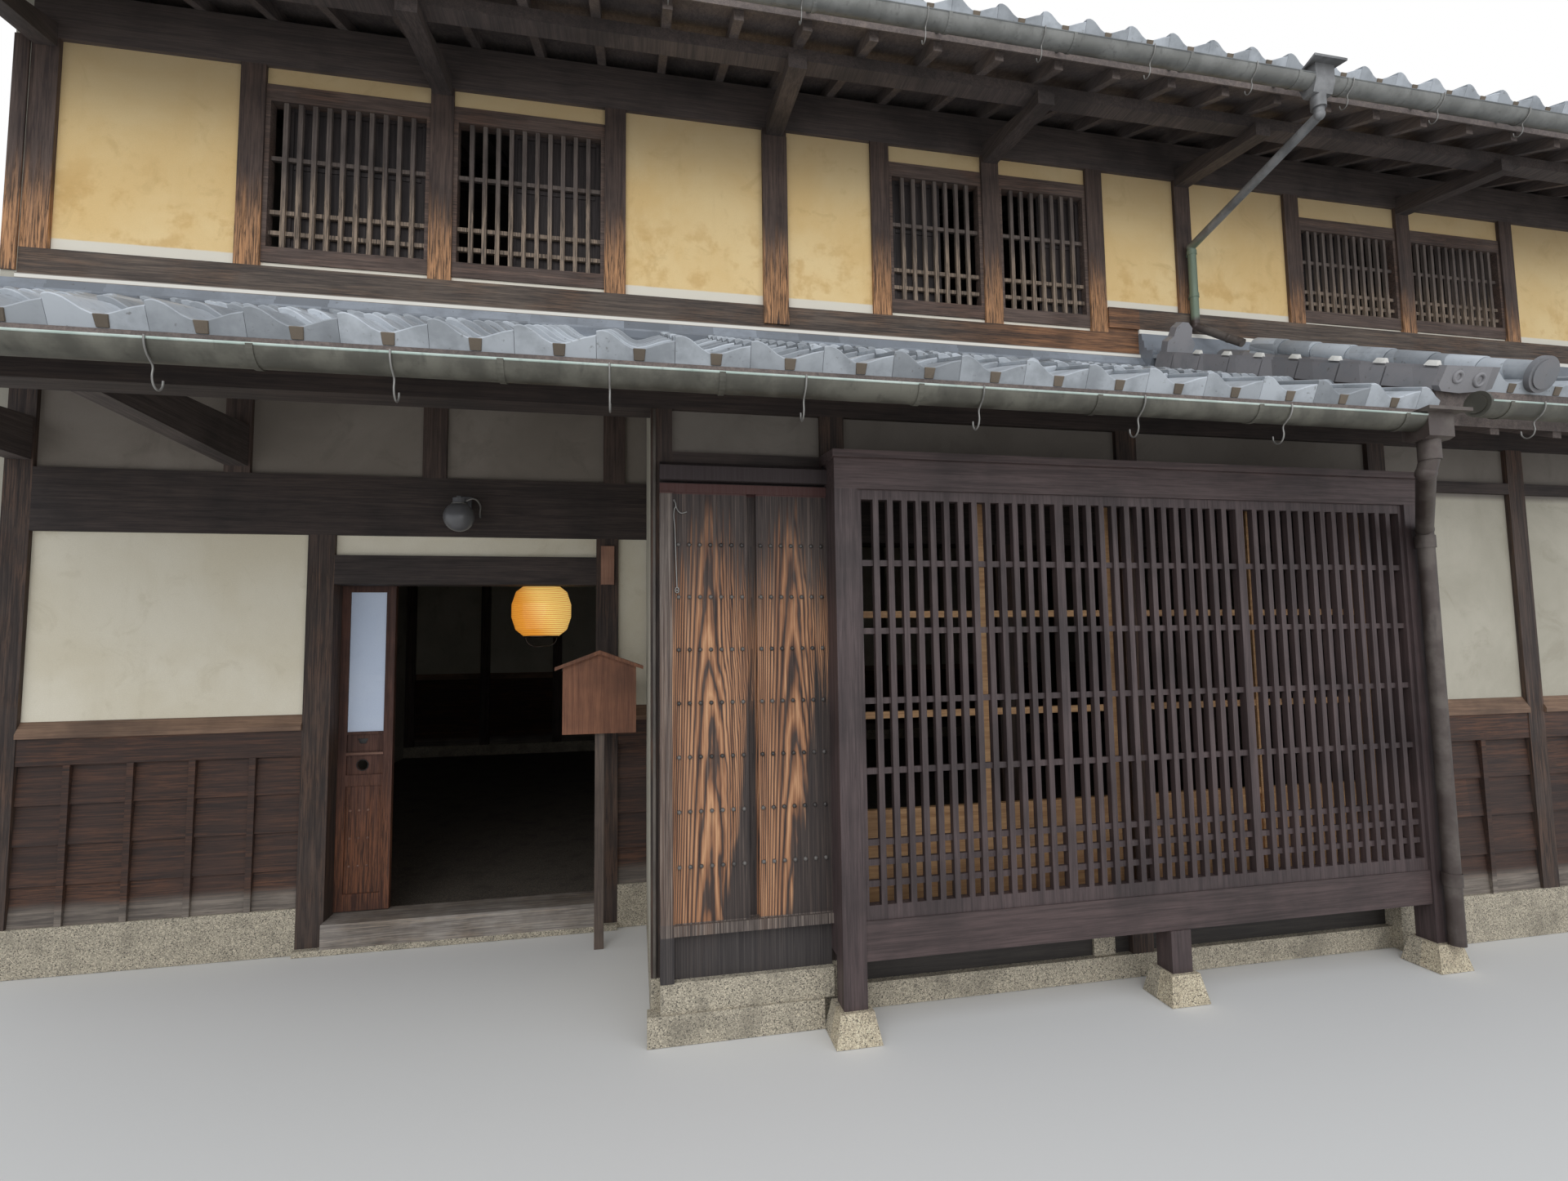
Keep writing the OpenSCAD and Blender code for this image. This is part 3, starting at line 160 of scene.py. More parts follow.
class Finish:
    def __init__(self, name, roughness=0.7, metallic=0.0, coat=0.0):
        self.material = LOOKS[name] = bpy.data.materials.new(name)
        self.material.use_nodes = True
        self.tree = self.material.node_tree
        self.shader = self.tree.nodes["Principled BSDF"]
        self.shader.inputs["Roughness"].default_value = roughness
        self.shader.inputs["Metallic"].default_value = metallic
        self.shader.inputs["Coat Weight"].default_value = coat
        self.place = self.node("ShaderNodeTexCoord", output="Object")
        sides = self.node("ShaderNodeSeparateXYZ", inputs={0: self.place}).socket.node
        self.x, self.y, self.z = (Wire(self, sides.outputs[i]) for i in range(3))

    def join(self, value, socket):
        if isinstance(value, Wire):
            self.tree.links.new(value.socket, socket)
        else:
            socket.default_value = value

    def node(self, kind, settings=None, inputs=None, output=0):
        """Adds a node: its settings come first, then what goes into its sockets."""
        made = self.tree.nodes.new(kind)
        for name, value in (settings or {}).items():
            if name == "stops":
                ramp = made.color_ramp
                while len(ramp.elements) < len(value):
                    ramp.elements.new(0.5)
                for stop, (at, colour) in zip(ramp.elements, value):
                    stop.position, stop.color = at, colour
            else:
                setattr(made, name, value)
        for name, value in (inputs or {}).items():
            self.join(value, made.inputs[name])
        return Wire(self, made.outputs[output])

    def noise(self, scale, detail=3.0, rough=0.5, warp=0.0, stretch=None):
        """Soft noise; a small number in stretch draws it out along that axis."""
        where = self.place
        if stretch:
            where = self.node("ShaderNodeMapping", inputs={"Vector": self.place, "Scale": stretch})
        return self.node("ShaderNodeTexNoise", inputs={
            "Vector": where, "Scale": scale, "Detail": detail, "Roughness": rough, "Distortion": warp})

    def chance(self, across, up):
        """One random number from 0 to 1 for each pair of numbers."""
        pair = self.node("ShaderNodeCombineXYZ", inputs={0: across, 1: up})
        return self.node("ShaderNodeTexWhiteNoise", {"noise_dimensions": "3D"}, {"Vector": pair})

    def fade(self, value, start, end, low=0.0, high=1.0):
        """A soft step: low before start, high after end."""
        return self.node("ShaderNodeMapRange", {"interpolation_type": "SMOOTHSTEP"}, {
            0: value, 1: start, 2: end, 3: low, 4: high})

    def above(self, line, soft=5.0):
        """0 to 1 over a short way up from a height in millimetres, or down where soft is below 0."""
        return self.fade(self.z, line * MM, (line + soft) * MM)

    def blend(self, share, first, second, way="MIX"):
        """Lays a share of the second colour over the first."""
        first, second = (v if isinstance(v, Wire) else linear(v) for v in (first, second))
        settings = {"data_type": "RGBA", "blend_type": way}
        return self.node("ShaderNodeMix", settings, {0: share, 6: first, 7: second}, 2)

    def layers(self, colour, *coats):
        """Blends coats over a colour, each with its own share."""
        for share, coat in coats:
            colour = self.blend(share, colour, coat)
        return colour

    def ramp(self, value, stops):
        stops = [(at, linear(colour)) for at, colour in stops]
        return self.node("ShaderNodeValToRGB", {"stops": stops}, {0: value}, "Color")

    def set(self, colour, roughness=None, height=None, depth=0.01, strength=1.0, glow=None, power=0.0):
        """Gives the shader its colour and what else varies."""
        self.join(colour, self.shader.inputs["Base Color"])
        if roughness is not None:
            self.join(roughness, self.shader.inputs["Roughness"])
        if height is not None:
            bump = self.node("ShaderNodeBump", inputs={
                "Strength": strength, "Distance": depth, "Height": height}, output="Normal")
            self.join(bump, self.shader.inputs["Normal"])
        if glow is not None:
            self.join(glow, self.shader.inputs["Emission Color"])
            self.shader.inputs["Emission Strength"].default_value = power


print("shader tools are ready")

# %% [markdown]
# ## Wood
# Old cedar and pine turn dark brown and grey, with a grain that runs along each piece. Noise that is
# drawn out along the piece gives the grain, a slower noise gives the patches, and where rain splashes
# the wood, at the feet of the posts, the stain has gone and bare brown wood shows.

# %% Mix the woods
FINE, DRAWN = 150.0, 0.035


def wood_look(finish, along, dark, light, worn=None, worn_share=0.0, foot=None):
    """Colour and grain of old wood. Foot gives four heights: where the worn part fades in and out."""
    squeeze = [DRAWN if axis == along else 1.0 for axis in "xyz"]
    lines = finish.noise(FINE, 5.0, 0.7, 0.5, stretch=squeeze)
    bands = finish.noise(FINE * 0.2, 3.0, 0.6, 1.2, stretch=squeeze)
    patches = finish.noise(2.3, 4.0, 0.6)
    grain = lines * 0.55 + bands * 0.45
    colour = finish.layers(dark, (finish.fade(grain, 0.34, 0.68), light),
                           (finish.fade(patches, 0.4, 0.7, 0.0, 0.6), tint(dark, 0.68)))
    if worn:
        share = finish.fade(patches + bands * 0.5, 0.66, 0.92) * worn_share
        if foot:
            ragged = finish.z + (bands - 0.5) * 0.5 + (lines - 0.5) * 0.16
            bottom, top = finish.fade(ragged, foot[0], foot[1]), finish.fade(ragged, foot[3], foot[2])
            share = bottom * top * worn_share
        bare = finish.blend(finish.fade(lines, 0.40, 0.60), tint(worn, 0.42), worn)
        colour = finish.blend(share, colour, bare)
    return colour, grain


def wood(name, along, dark, light, worn=None, worn_share=0.0, foot=None, roughness=0.75, relief=0.002):
    finish = Finish(name, roughness)
    colour, grain = wood_look(finish, along, dark, light, worn, worn_share, foot)
    rough = finish.fade(grain, 0.3, 0.7, roughness + 0.1, roughness - 0.12)
    finish.set(colour, rough, grain, relief, 0.6)


DARK = (44, 37, 35)
wood("dark_post", "z", DARK, (80, 64, 55), (112, 80, 60), 0.5)
wood("dark_beam", "x", DARK, (72, 59, 53))
wood("dark_arm", "y", (66, 59, 57), (96, 84, 79))
wood("plate_wood", "x", (68, 60, 58), (98, 86, 80))
wood("upper_post", "z", (56, 45, 42), (96, 78, 68), (208, 152, 104), 0.8, (3.5, 3.62, 3.8, 4.25))
wood("step_wood", "x", (112, 104, 98), (176, 168, 158), (150, 122, 92), 0.4)
wood("stained", "z", (58, 47, 47), (86, 71, 70), roughness=0.6, relief=0.001)
wood("stained_beam", "x", (60, 48, 47), (90, 73, 71), roughness=0.6, relief=0.001)
wood("bar_wood", "z", (74, 64, 60), (116, 104, 96), (170, 148, 126), 0.7, (3.7, 3.8, 4.05, 4.35))
wood("window_wood", "z", (38, 33, 33), (62, 53, 51))
wood("frame_wood", "x", (70, 58, 53), (110, 92, 82), (128, 92, 72), 0.35)
wood("light_wood", "x", (182, 134, 92), (226, 182, 132), roughness=0.6, relief=0.001)
wood("eave_wood", "y", (94, 85, 82), (128, 114, 106))
wood("board_wood", "x", (58, 48, 42), (98, 80, 66))
wood("leaf_wood", "z", (58, 35, 28), (100, 64, 50), (150, 92, 56), 0.5, (0.1, 0.3, 0.5, 1.0))
print("woods are mixed")

# %% [markdown]
# Two pieces change along their length. The sill beam shows figured brown wood in the middle part of
# its street face. The sign is one frame piece: a stake, a board on it and a nameplate higher up, so
# its three colours are told apart by height.

# %% Mix the sill and the sign
FIGURED_FROM, FIGURED_FULL, FIGURED_END = 4900.0, 5700.0, 6505.0
SIGN_Z, PLATE_Z = 1118.0, 1700.0

sill = Finish("sill_wood", 0.75)
sill_plain, sill_grain = wood_look(sill, "x", (58, 50, 46), (112, 98, 86), (132, 100, 76), 0.45)
figured, _ = wood_look(sill, "x", (60, 42, 32), (176, 120, 76))
middle = sill.fade(sill.x, at_x(FIGURED_FROM), at_x(FIGURED_FULL)) * (sill.x < at_x(FIGURED_END))
sill_colour = sill.blend(middle * (sill.y < 0.0) * 0.7, sill_plain, figured)
sill.set(sill_colour, None, sill_grain, 0.003, 0.7)

sign = Finish("sign_wood", 0.65)
board_part, sign_grain = wood_look(sign, "z", (112, 70, 50), (160, 108, 78))
stake_part, _ = wood_look(sign, "z", (78, 66, 60), (118, 102, 90))
plate_part, _ = wood_look(sign, "z", (146, 104, 84), (184, 138, 112))
high_part = sign.blend(sign.z > PLATE_Z * MM, board_part, plate_part)
sign_colour = sign.blend(sign.z > SIGN_Z * MM, stake_part, high_part)
sign.set(sign_colour, None, sign_grain, 0.002, 0.6)
print("sill and sign are mixed")

# %% [markdown]
# The shutter box has two tall burnt boards. Dark growth lines rise to a flame in each, with brown wood
# between. The top and the lower right stay charred, dark streaks run down from the nails, and the
# stile and the low rail are weathered grey.

# %% Burn the shutter boards
NAIL_X, NAIL_Z, NAIL_STEP, NAIL_RISE = 3254.0, 682.0, 44.2, 218.8
BOARD_X, BOARD_STEP, BOARD_W, BOARD_GAP = 3227.0, 355.0, 340.0, 8.0

shutter = Finish("shutter_wood", 0.72)
hairs = shutter.noise(170.0, 5.0, 0.7, 0.4, stretch=(1.0, 1.0, 0.012))
bands = shutter.noise(46.0, 3.0, 0.6, 0.6, stretch=(1.0, 1.0, 0.02))
drift = shutter.noise(7.0, 4.0, 0.6, stretch=(1.0, 1.0, 0.15))
second = shutter.x > at_x(BOARD_X + BOARD_STEP - BOARD_GAP)
across = (shutter.x - at_x(BOARD_X) - second * BOARD_STEP * MM) / (BOARD_W * MM)
off_heart = abs(across - 0.44 + (drift - 0.5) * 0.12)
flame = shutter.z * 1.3 + off_heart * off_heart * 26.0 + drift * 1.6
growth = abs(flame % 0.5 - 0.25) * 4.0
height = shutter.z + (hairs - 0.5) * 1.3 + (bands - 0.5) * 0.7
burnt_edge = shutter.fade(across + second * 0.28 + (hairs + drift - 1.0) * 0.5, 0.42, 1.1, 0.22, 1.5)
below_top = shutter.fade(height + (off_heart - 0.2) * 0.5, 2.1, 1.72)
unburnt = below_top * shutter.fade(height - burnt_edge, -0.12, 0.12)
dark_lines = shutter.fade(growth, 0.34, 0.12) * shutter.fade(bands, 0.3, 0.5)
bare_wood = shutter.ramp(hairs * 0.45 + bands * 0.35 + growth * 0.2, [
    (0.32, (46, 33, 28)), (0.43, (94, 64, 48)), (0.53, (152, 106, 74)), (0.66, (200, 152, 112))])
charred = shutter.ramp(hairs * 0.7 + bands * 0.3, [
    (0.32, (34, 31, 32)), (0.52, (62, 52, 48)), (0.70, (104, 88, 78))])
print("two boards,", BOARD_W, "mm wide, are burnt")

# %% Streak and frame the shutter boards
FOOT_Z, RAIL_Z, HEAD_Z, CAP_Z = 415.0, 462.5, 2205.0, 2256.0

half_step = NAIL_STEP / 2 * MM
beside = abs((shutter.x - at_x(NAIL_X) + half_step) % (NAIL_STEP * MM) - half_step)
below = (NAIL_Z * MM - shutter.z) % (NAIL_RISE * MM)
streak = shutter.fade(beside, 0.006, 0.001) * shutter.fade(below, 0.13, 0.0) * shutter.fade(hairs, 0.2, 0.5)
weathered = shutter.ramp(hairs, [(0.35, (52, 44, 42)), (0.5, (92, 82, 76)), (0.68, (142, 130, 120))])
shutter_colour = shutter.layers(
    charred, (unburnt * (1 - dark_lines * 0.85), bare_wood), (streak * 0.55, (30, 26, 26)),
    ((shutter.x < at_x(BOARD_X)) * 0.85, weathered), ((shutter.z < RAIL_Z * MM) * 0.9, weathered),
    # Painted shade: below the foot of the rail the boards are painted dark grey, as the shade of the recess
    # there.
    (shutter.above(FOOT_Z, -5.0) * 0.85, (50, 46, 46)),
    (shutter.above(HEAD_Z, 7.0), (74, 46, 42)), (shutter.above(CAP_Z, 6.0), (50, 40, 40)))
shutter_rough = shutter.fade(hairs, 0.3, 0.7, 0.85, 0.6)
shutter.set(shutter_colour, shutter_rough, hairs * 0.6 + bands * 0.4, 0.003, 0.6)
print("the boards have", len(shutter.tree.nodes), "nodes")

# %% [markdown]
# ## Siding
# The board siding is one material that changes with height: a grey foot board, lapped dark boards
# that each have a tone of their own, and a paler ledge on top. Behind the bay it is painted nearly
# black, as painted shade.

# %% Mix the siding
LAP_Z, LAP, BAY, LEDGE_Z = 235.0, 197.0, 1970.0, 1153.0
SHADE_FRONT, SHADE_BACK = -1180.0, -900.0


def siding_look(finish):
    lap, bay = (finish.z - LAP_Z * MM) / (LAP * MM), finish.x / (BAY * MM)
    tone = finish.chance(lap.floor(), bay.floor())
    colour, grain = wood_look(finish, "x", (46, 33, 28), (84, 58, 46), (140, 90, 60), 0.35)
    pale, _ = wood_look(finish, "x", (104, 80, 64), (150, 120, 96))
    grey, _ = wood_look(finish, "x", (92, 84, 78), (150, 140, 128))
    foot = finish.fade(finish.z + (grain - 0.5) * 0.06, 0.36, 0.30, 0.0, 0.85)
    colour = finish.layers(colour, (tone * 0.45, (40, 30, 27)), (finish.above(LEDGE_Z), pale), (foot, grey))
    return colour, grain


siding = Finish("siding_wood", 0.72)
siding_base, siding_grain = siding_look(siding)
# Painted shade: between these two depths, behind the bay, the siding is painted nearly black.
shaded = (siding.y > at_y(SHADE_FRONT)) * (siding.y < at_y(SHADE_BACK))
siding_colour = siding.blend(shaded * 0.85, siding_base, (30, 27, 26))
siding.set(siding_colour, None, siding_grain, 0.003, 0.7)
print("siding is mixed")

# %% [markdown]
# ## Plaster
# The upper panels are ochre earth plaster with blotches and a white band at the foot, the lower ones
# grey-beige. Slow noise gives the clouds, a rougher one the stains, and very fine noise the sand.

# %% Mix the plasters
BUMP = 0.002, 0.5


def plaster_look(finish, base, stain, pale, spots=0.5):
    clouds = finish.noise(1.3, 5.0, 0.6, 0.4)
    blotch = finish.noise(4.5, 7.0, 0.66, 1.0)
    sand = finish.noise(240.0, 2.0, 0.6)
    streaks = finish.noise(9.0, 4.0, 0.6, stretch=(1.0, 1.0, 0.12))
    colour = finish.layers(base, (finish.fade(clouds, 0.35, 0.65), pale),
                           (finish.fade(blotch, 0.54, 0.68, 0.0, spots), stain),
                           (finish.fade(streaks, 0.55, 0.75, 0.0, spots * 0.5), stain),
                           (finish.fade(sand, 0.3, 0.7, 0.0, 0.12), tint(base, 0.7)))
    return colour, sand * 0.4 + blotch * 0.6


def plaster(name, base, stain, pale, spots=0.5, coats=None, roughness=0.92):
    """Plaster; coats, where given, is a function that works out what lies over it."""
    finish = Finish(name, roughness)
    colour, rough = plaster_look(finish, base, stain, pale, spots)
    if coats:
        colour = finish.layers(colour, *coats(finish, rough))
    finish.set(colour, None, rough, *BUMP)


GREY = (172, 166, 150), (150, 142, 124), (190, 184, 168)
plaster("cream_plaster", (222, 212, 188), (196, 184, 156), (232, 224, 204), 0.25)
plaster("side_plaster", (172, 166, 152), (146, 138, 124), (188, 184, 170))
plaster("lime_white", (206, 204, 196), (170, 166, 156), (220, 218, 212))
plaster("mortar", (104, 94, 82), (84, 76, 66), (122, 110, 96))
plaster("paper", (204, 216, 236), (188, 200, 222), (214, 224, 240), 0.2)
print("five plain plasters are mixed")

# %% [markdown]
# Some panels change with height. The ochre has a white band at its foot, which lies higher to the
# right, over the raised roof, and it is stained below; at its top it is painted darker and greyer,
# as painted shade under the upper eaves. The transom has white lines.

# %% Plaster the street panels
STEP_X, LEFT_BAND, RIGHT_BAND, EDGE_Y = 6207.0, 3765.0, 3935.0, -1215.0


def ochre_coats(finish, rough):
    foot = finish.z + (rough - 0.5) * 0.01
    left, right = (finish.fade(foot, line * MM, (line - 10.0) * MM) for line in (LEFT_BAND, RIGHT_BAND))
    stains = finish.fade(finish.noise(6.0, 5.0, 0.6), 0.48, 0.66, 0.0, 0.5)
    return ((finish.fade(finish.z, 4.35, 4.02) * stains, (202, 160, 94)),
            # Painted shade: the top of the ochre fades to a darker grey-brown, as the shade under the upper
            # eaves.
            (finish.fade(finish.z, 4.25, 4.86, 0.0, 0.5), (150, 132, 108)),
            (left.most(right * (finish.x > at_x(STEP_X))) * 0.9, (226, 222, 210)))


def front_coats(finish, rough):
    # Painted shade: above 2300 mm the front plaster is a darker grey-brown, as the shade under the lower
    # roof.
    high, _ = plaster_look(finish, (112, 105, 97), (94, 87, 79), (126, 119, 111), 0.3)
    return ((finish.above(2300, 40), high),)


def transom_coats(finish, rough):
    lines = finish.above(3519, 3) * finish.above(3541, -3) + finish.above(3600, 10)
    return ((lines, (232, 228, 218)),)


def edge_coats(finish, rough):
    edge, _ = wood_look(finish, "z", (48, 38, 35), (92, 70, 58), (150, 104, 72), 0.6)
    return ((finish.y < at_y(EDGE_Y), edge),)


plaster("ochre_plaster", (232, 198, 138), (204, 170, 112), (240, 212, 158), 0.35, ochre_coats)
plaster("front_plaster", *GREY, 0.3, front_coats)
# Painted shade: the transom plaster is mixed darker than the grey plaster, as the shade under the lower roof.
plaster("transom_plaster", (130, 121, 111), (108, 100, 90), (146, 137, 127), 0.3, transom_coats)
plaster("return_plaster", *GREY, 0.3, edge_coats, 0.9)
print("four panel finishes change over their panels")

# %% Mix the rear wall
rear = Finish("rear_wall", 0.85)
plastered = rear.above(1236, 4)
rear_plaster, rear_rough = plaster_look(rear, *GREY, 0.4)
rear_boards, rear_grain = siding_look(rear)
rear_bump = rear_grain * (1 - plastered) + rear_rough * plastered
rear.set(rear.blend(plastered, rear_boards, rear_plaster), None, rear_bump, 0.002, 0.6)
print("the rear wall has", len(rear.tree.nodes), "nodes")

# %% [markdown]
# ## Stone and clay
# Granite is a pale ground with dark and light specks, made of tiny cells. Roof tiles are silver-grey
# smoked clay, no two quite alike, so each laid tile carries a number that sets its tone.

# %% Mix stone and clay
FOOTING_Y = -1400.0
ROW_TILE, ROW_COURSE = 265.0, 240.0


def stone(name, base, roughness=0.85):
    finish = Finish(name, roughness)
    cells = finish.node("ShaderNodeTexVoronoi", None, {"Vector": finish.place, "Scale": 260.0}, "Color")
    specks = finish.node("ShaderNodeSeparateXYZ", None, {0: cells})
    clouds = finish.noise(7.0, 4.0)
    colour = finish.layers(base, (finish.fade(specks, 0.62, 0.9), tint(base, 1.25)),
                           (finish.fade(specks, 0.22, 0.08, 0.0, 0.8), (62, 58, 56)),
                           (finish.fade(clouds, 0.45, 0.75, 0.0, 0.5), tint(base, 0.66)))
    colour = finish.blend((finish.y < at_y(FOOTING_Y)) * 0.6, colour, (222, 216, 206), "OVERLAY")
    rough = finish.noise(60.0, 3.0)
    finish.set(colour, None, rough * 0.7 + specks * 0.3, 0.006, 0.7)


def clay(name, base, laid=False):
    """Smoked clay; laid tiles carry their own tone, and long rows change tone from tile to tile."""
    finish = Finish(name, 0.42)
    if laid:
        tone = finish.node("ShaderNodeAttribute", {"attribute_name": "tone"}, output="Fac")
    else:
        across, up_slope = finish.x / (ROW_TILE * MM), finish.y / (ROW_COURSE * MM)
        tone = finish.chance(across.floor(), up_slope.floor())
    clouds = finish.noise(6.0, 5.0, 0.6)
    spots = finish.noise(38.0, 4.0, 0.6)
    colour = finish.layers(tint(base, 0.80), (tone, tint(base, 1.10)),
                           (finish.fade(clouds, 0.4, 0.7, 0.0, 0.55), (112, 116, 120)),
                           (finish.fade(spots, 0.62, 0.74, 0.0, 0.6), (88, 84, 76)))
    rough = finish.fade(clouds, 0.3, 0.7, 0.36, 0.62)
    finish.set(colour, rough, spots * 0.5 + clouds * 0.5, 0.003, 0.5)


CLAY = (176, 181, 186)
stone("granite", (168, 159, 141))
stone("earth_floor", (96, 88, 78), 0.95)
clay("roof_clay", CLAY, laid=True)
clay("row_clay", CLAY)
clay("flash_clay", (136, 142, 150))
clay("verge_clay", (134, 132, 134))
print("stone and clay are mixed")

# %% [markdown]
# ## Metal and lamps
# Rain goods are sheet metal with an aged coat, paler at the upper eaves and green on the pipe at the
# wall. The globe is grey glass. The lantern is lit paper over hoops, drawn by a sine up its height.

# %% Mix the metals


def sheet_metal(name, base, patina, roughness, metallic):
    finish = Finish(name, roughness, metallic)
    clouds = finish.noise(5.0, 5.0, 0.6)
    streaks = finish.noise(26.0, 4.0, 0.6, stretch=(1.0, 1.0, 0.2))
    colour = finish.layers(base, (finish.fade(clouds, 0.38, 0.66), patina),
                           (finish.fade(streaks, 0.55, 0.8, 0.0, 0.6), tint(base, 0.55)))
    rough = finish.fade(clouds, 0.3, 0.7, roughness - 0.08, roughness + 0.18)
    finish.set(colour, rough, streaks, 0.0006, 0.4)


def rain_metal(name, low, low_patina, high, high_patina, green_share=0.0):
    """Brown below the upper eaves and paler above; a green patina can cover the pipe at the wall."""
    finish = Finish(name, 0.5, 0.3)
    clouds = finish.noise(6.0, 5.0, 0.6)
    streaks = finish.noise(30.0, 4.0, 0.6, stretch=(1.0, 1.0, 0.15))
    patches = finish.fade(clouds, 0.38, 0.66)
    green = finish.fade(finish.z + (clouds - 0.5) * 0.1, 3.78, 3.84) * finish.above(4360, -60)
    colour = finish.layers(finish.blend(patches, low, low_patina),
                           (finish.above(4200, 200), finish.blend(patches, high, high_patina)),
                           (green * green_share, (124, 142, 122)),
                           (finish.fade(streaks, 0.55, 0.8, 0.0, 0.5), tint(low, 0.62)))
    finish.set(colour, finish.fade(clouds, 0.3, 0.7, 0.42, 0.66), streaks, 0.0006, 0.4)


rain_metal("bronze", (76, 74, 66), (106, 104, 94), (112, 112, 108), (136, 136, 132))
rain_metal("pipe_metal", (76, 66, 62), (104, 96, 90), (112, 112, 112), (146, 146, 146), 0.8)
rain_metal("rim_metal", (168, 184, 174), (196, 206, 198), (96, 98, 98), (120, 122, 120))
sheet_metal("wire_metal", (128, 126, 122), (156, 154, 150), 0.4, 0.6)
sheet_metal("nail_iron", (70, 66, 64), (120, 116, 112), 0.45, 0.5)
sheet_metal("bead_grey", (84, 78, 72), (112, 104, 96), 0.5, 0.2)
sheet_metal("lacquer", (24, 22, 22), (40, 36, 34), 0.4, 0.0)
wood("strip_wood", "x", (104, 72, 58), (146, 110, 92), roughness=0.6, relief=0.0005)
print("seven metals and the strip wood are mixed")

# %% Mix the lamps
LANTERN_X, LANTERN_Y, LANTERN_Z, LANTERN_H = 2495.0, 500.0, 1645.0, 330.0

opal = Finish("lamp_glass", 0.3, 0.0, 0.2)
opal_tone = opal.noise(9.0, 3.0)
is_lantern = opal.fade(opal.y, at_y(250), at_y(260))
hoops = (opal.z * 520.0).sine()
# Painted light: the right and upper side of the lantern is painted brighter yellow, in its colour and its
# glow.
lit_side = opal.fade(opal.x + opal.z * 0.5, at_x(LANTERN_X) + 0.80, at_x(LANTERN_X) + 0.98)
globe_colour = opal.blend(opal_tone, (84, 84, 86), (112, 112, 114))
lantern_colour = opal.layers((222, 146, 52), (lit_side, (250, 206, 118)),
                             (opal.fade(hoops, 0.1, 0.9, 0.0, 0.8), (168, 104, 34)))
lamp_colour, glow = (opal.blend(is_lantern, first, lantern_colour) for first in (globe_colour, (0, 0, 0)))
opal.set(lamp_colour, None, hoops * is_lantern + opal_tone * 0.2, 0.001, 0.4, glow, 0.75)
print("the lamps are mixed")

# %% [markdown]
# Each frame piece keeps its mesh and gets one finish, which all its faces show.

# %% Give each frame piece its finish
SKINS = (
    ("earth_floor", "ground_floor"), ("board_wood", "upper_floor"), ("granite", "stone_base"),
    ("step_wood", "threshold"), ("dark_post", "entry_posts front_frame"), ("leaf_wood", "door_leaf"),
    ("cream_plaster", "entry_plaster"), ("siding_wood", "entry_boards front_boards"),
    ("front_plaster", "front_plaster"), ("return_plaster", "return_wall"), ("light_wood", "inner_screens"),
    ("dark_beam", "door_head lintel_beam eaves_beam front_rail"), ("shutter_wood", "shutter_box"),
    ("stained", "lattice_posts bay_lattice bay_ends"), ("stained_beam", "bay_beam bay_header"),
    ("eave_wood", "lower_rafters lower_deck upper_rafters upper_deck"), ("dark_arm", "eaves_arms upper_arms"),
    ("roof_clay", "lower_tiles_left lower_tiles_right upper_tiles"), ("row_clay", "ridge_tiles"),
    ("flash_clay", "wall_flashing"), ("verge_clay", "verge_tiles"), ("bronze", "gutters"),
    ("pipe_metal", "downpipes"), ("sill_wood", "sill_beam"), ("upper_post", "wall_posts"),
    ("plate_wood", "wall_plates"), ("transom_plaster", "transom_panels"), ("ochre_plaster", "upper_panels"),
    ("frame_wood", "window_frames"), ("bar_wood", "window_bars"), ("side_plaster", "party_walls"),
    ("rear_wall", "rear_wall"), ("lamp_glass", "lamps"), ("sign_wood", "sign_boards"))


def dress(mesh, look):
    """Shows one finish on all faces of a mesh."""
    mesh.materials.clear()
    mesh.materials.append(LOOKS[look])
    for face in mesh.polygons:
        face.material_index = 0


for look, wearers in SKINS:
    for node in wearers.split():
        dress(NODES[node].data, look)
print("the frame wears", len(SKINS), "finishes")

# %% [markdown]
# ## Tools
# A piece starts as a plain shape and is worked on in edit mode. Then it is kept: it gets one finish
# and a body to ride on.

# %% Tools for pieces


def activate(piece):
    bpy.ops.object.select_all(action="DESELECT")
    piece.select_set(True)
    bpy.context.view_layer.objects.active = piece


def settle(piece):
    """Puts a piece's place, turn and size into its mesh."""
    activate(piece)
    bpy.ops.object.transform_apply(location=True, rotation=True, scale=True)


def start(name):
    """Names the shape that was just added, and settles it."""
    made = bpy.context.active_object
    made.name = made.data.name = name
    settle(made)
    return made


def apply(piece, kind, **settings):
    """Adds one modifier to a piece and makes it part of the mesh."""
    activate(piece)
    made = piece.modifiers.new(kind.lower(), kind)
    for name, value in settings.items():
        setattr(made, name, value)
    bpy.ops.object.modifier_apply(modifier=made.name)


def pick(piece, wanted):
    """Goes into edit mode with just the vertices selected for which wanted is true."""
    activate(piece)
    bpy.ops.object.mode_set(mode="EDIT")
    bpy.ops.mesh.select_mode(type="VERT")
    sheet = bmesh.from_edit_mesh(piece.data)
    for vertex in sheet.verts:
        vertex.select_set(bool(wanted(vertex.co)))
    sheet.select_flush_mode()
    bmesh.update_edit_mesh(piece.data)


def done():
    bpy.ops.object.mode_set(mode="OBJECT")


def keep(piece, look, body="house", smooth=35.0):
    """Sets a finished piece: its transform goes into the mesh, and it rides on its body."""
    settle(piece)
    bpy.ops.object.shade_smooth_by_angle(angle=math.radians(smooth))
    dress(piece.data, look)
    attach(piece, body)


def join(name, parts):
    """Makes one object of several."""
    bpy.ops.object.select_all(action="DESELECT")
    for part in parts:
        part.select_set(True)
    bpy.context.view_layer.objects.active = parts[0]
    bpy.ops.object.join()
    parts[0].name = parts[0].data.name = name
    return parts[0]


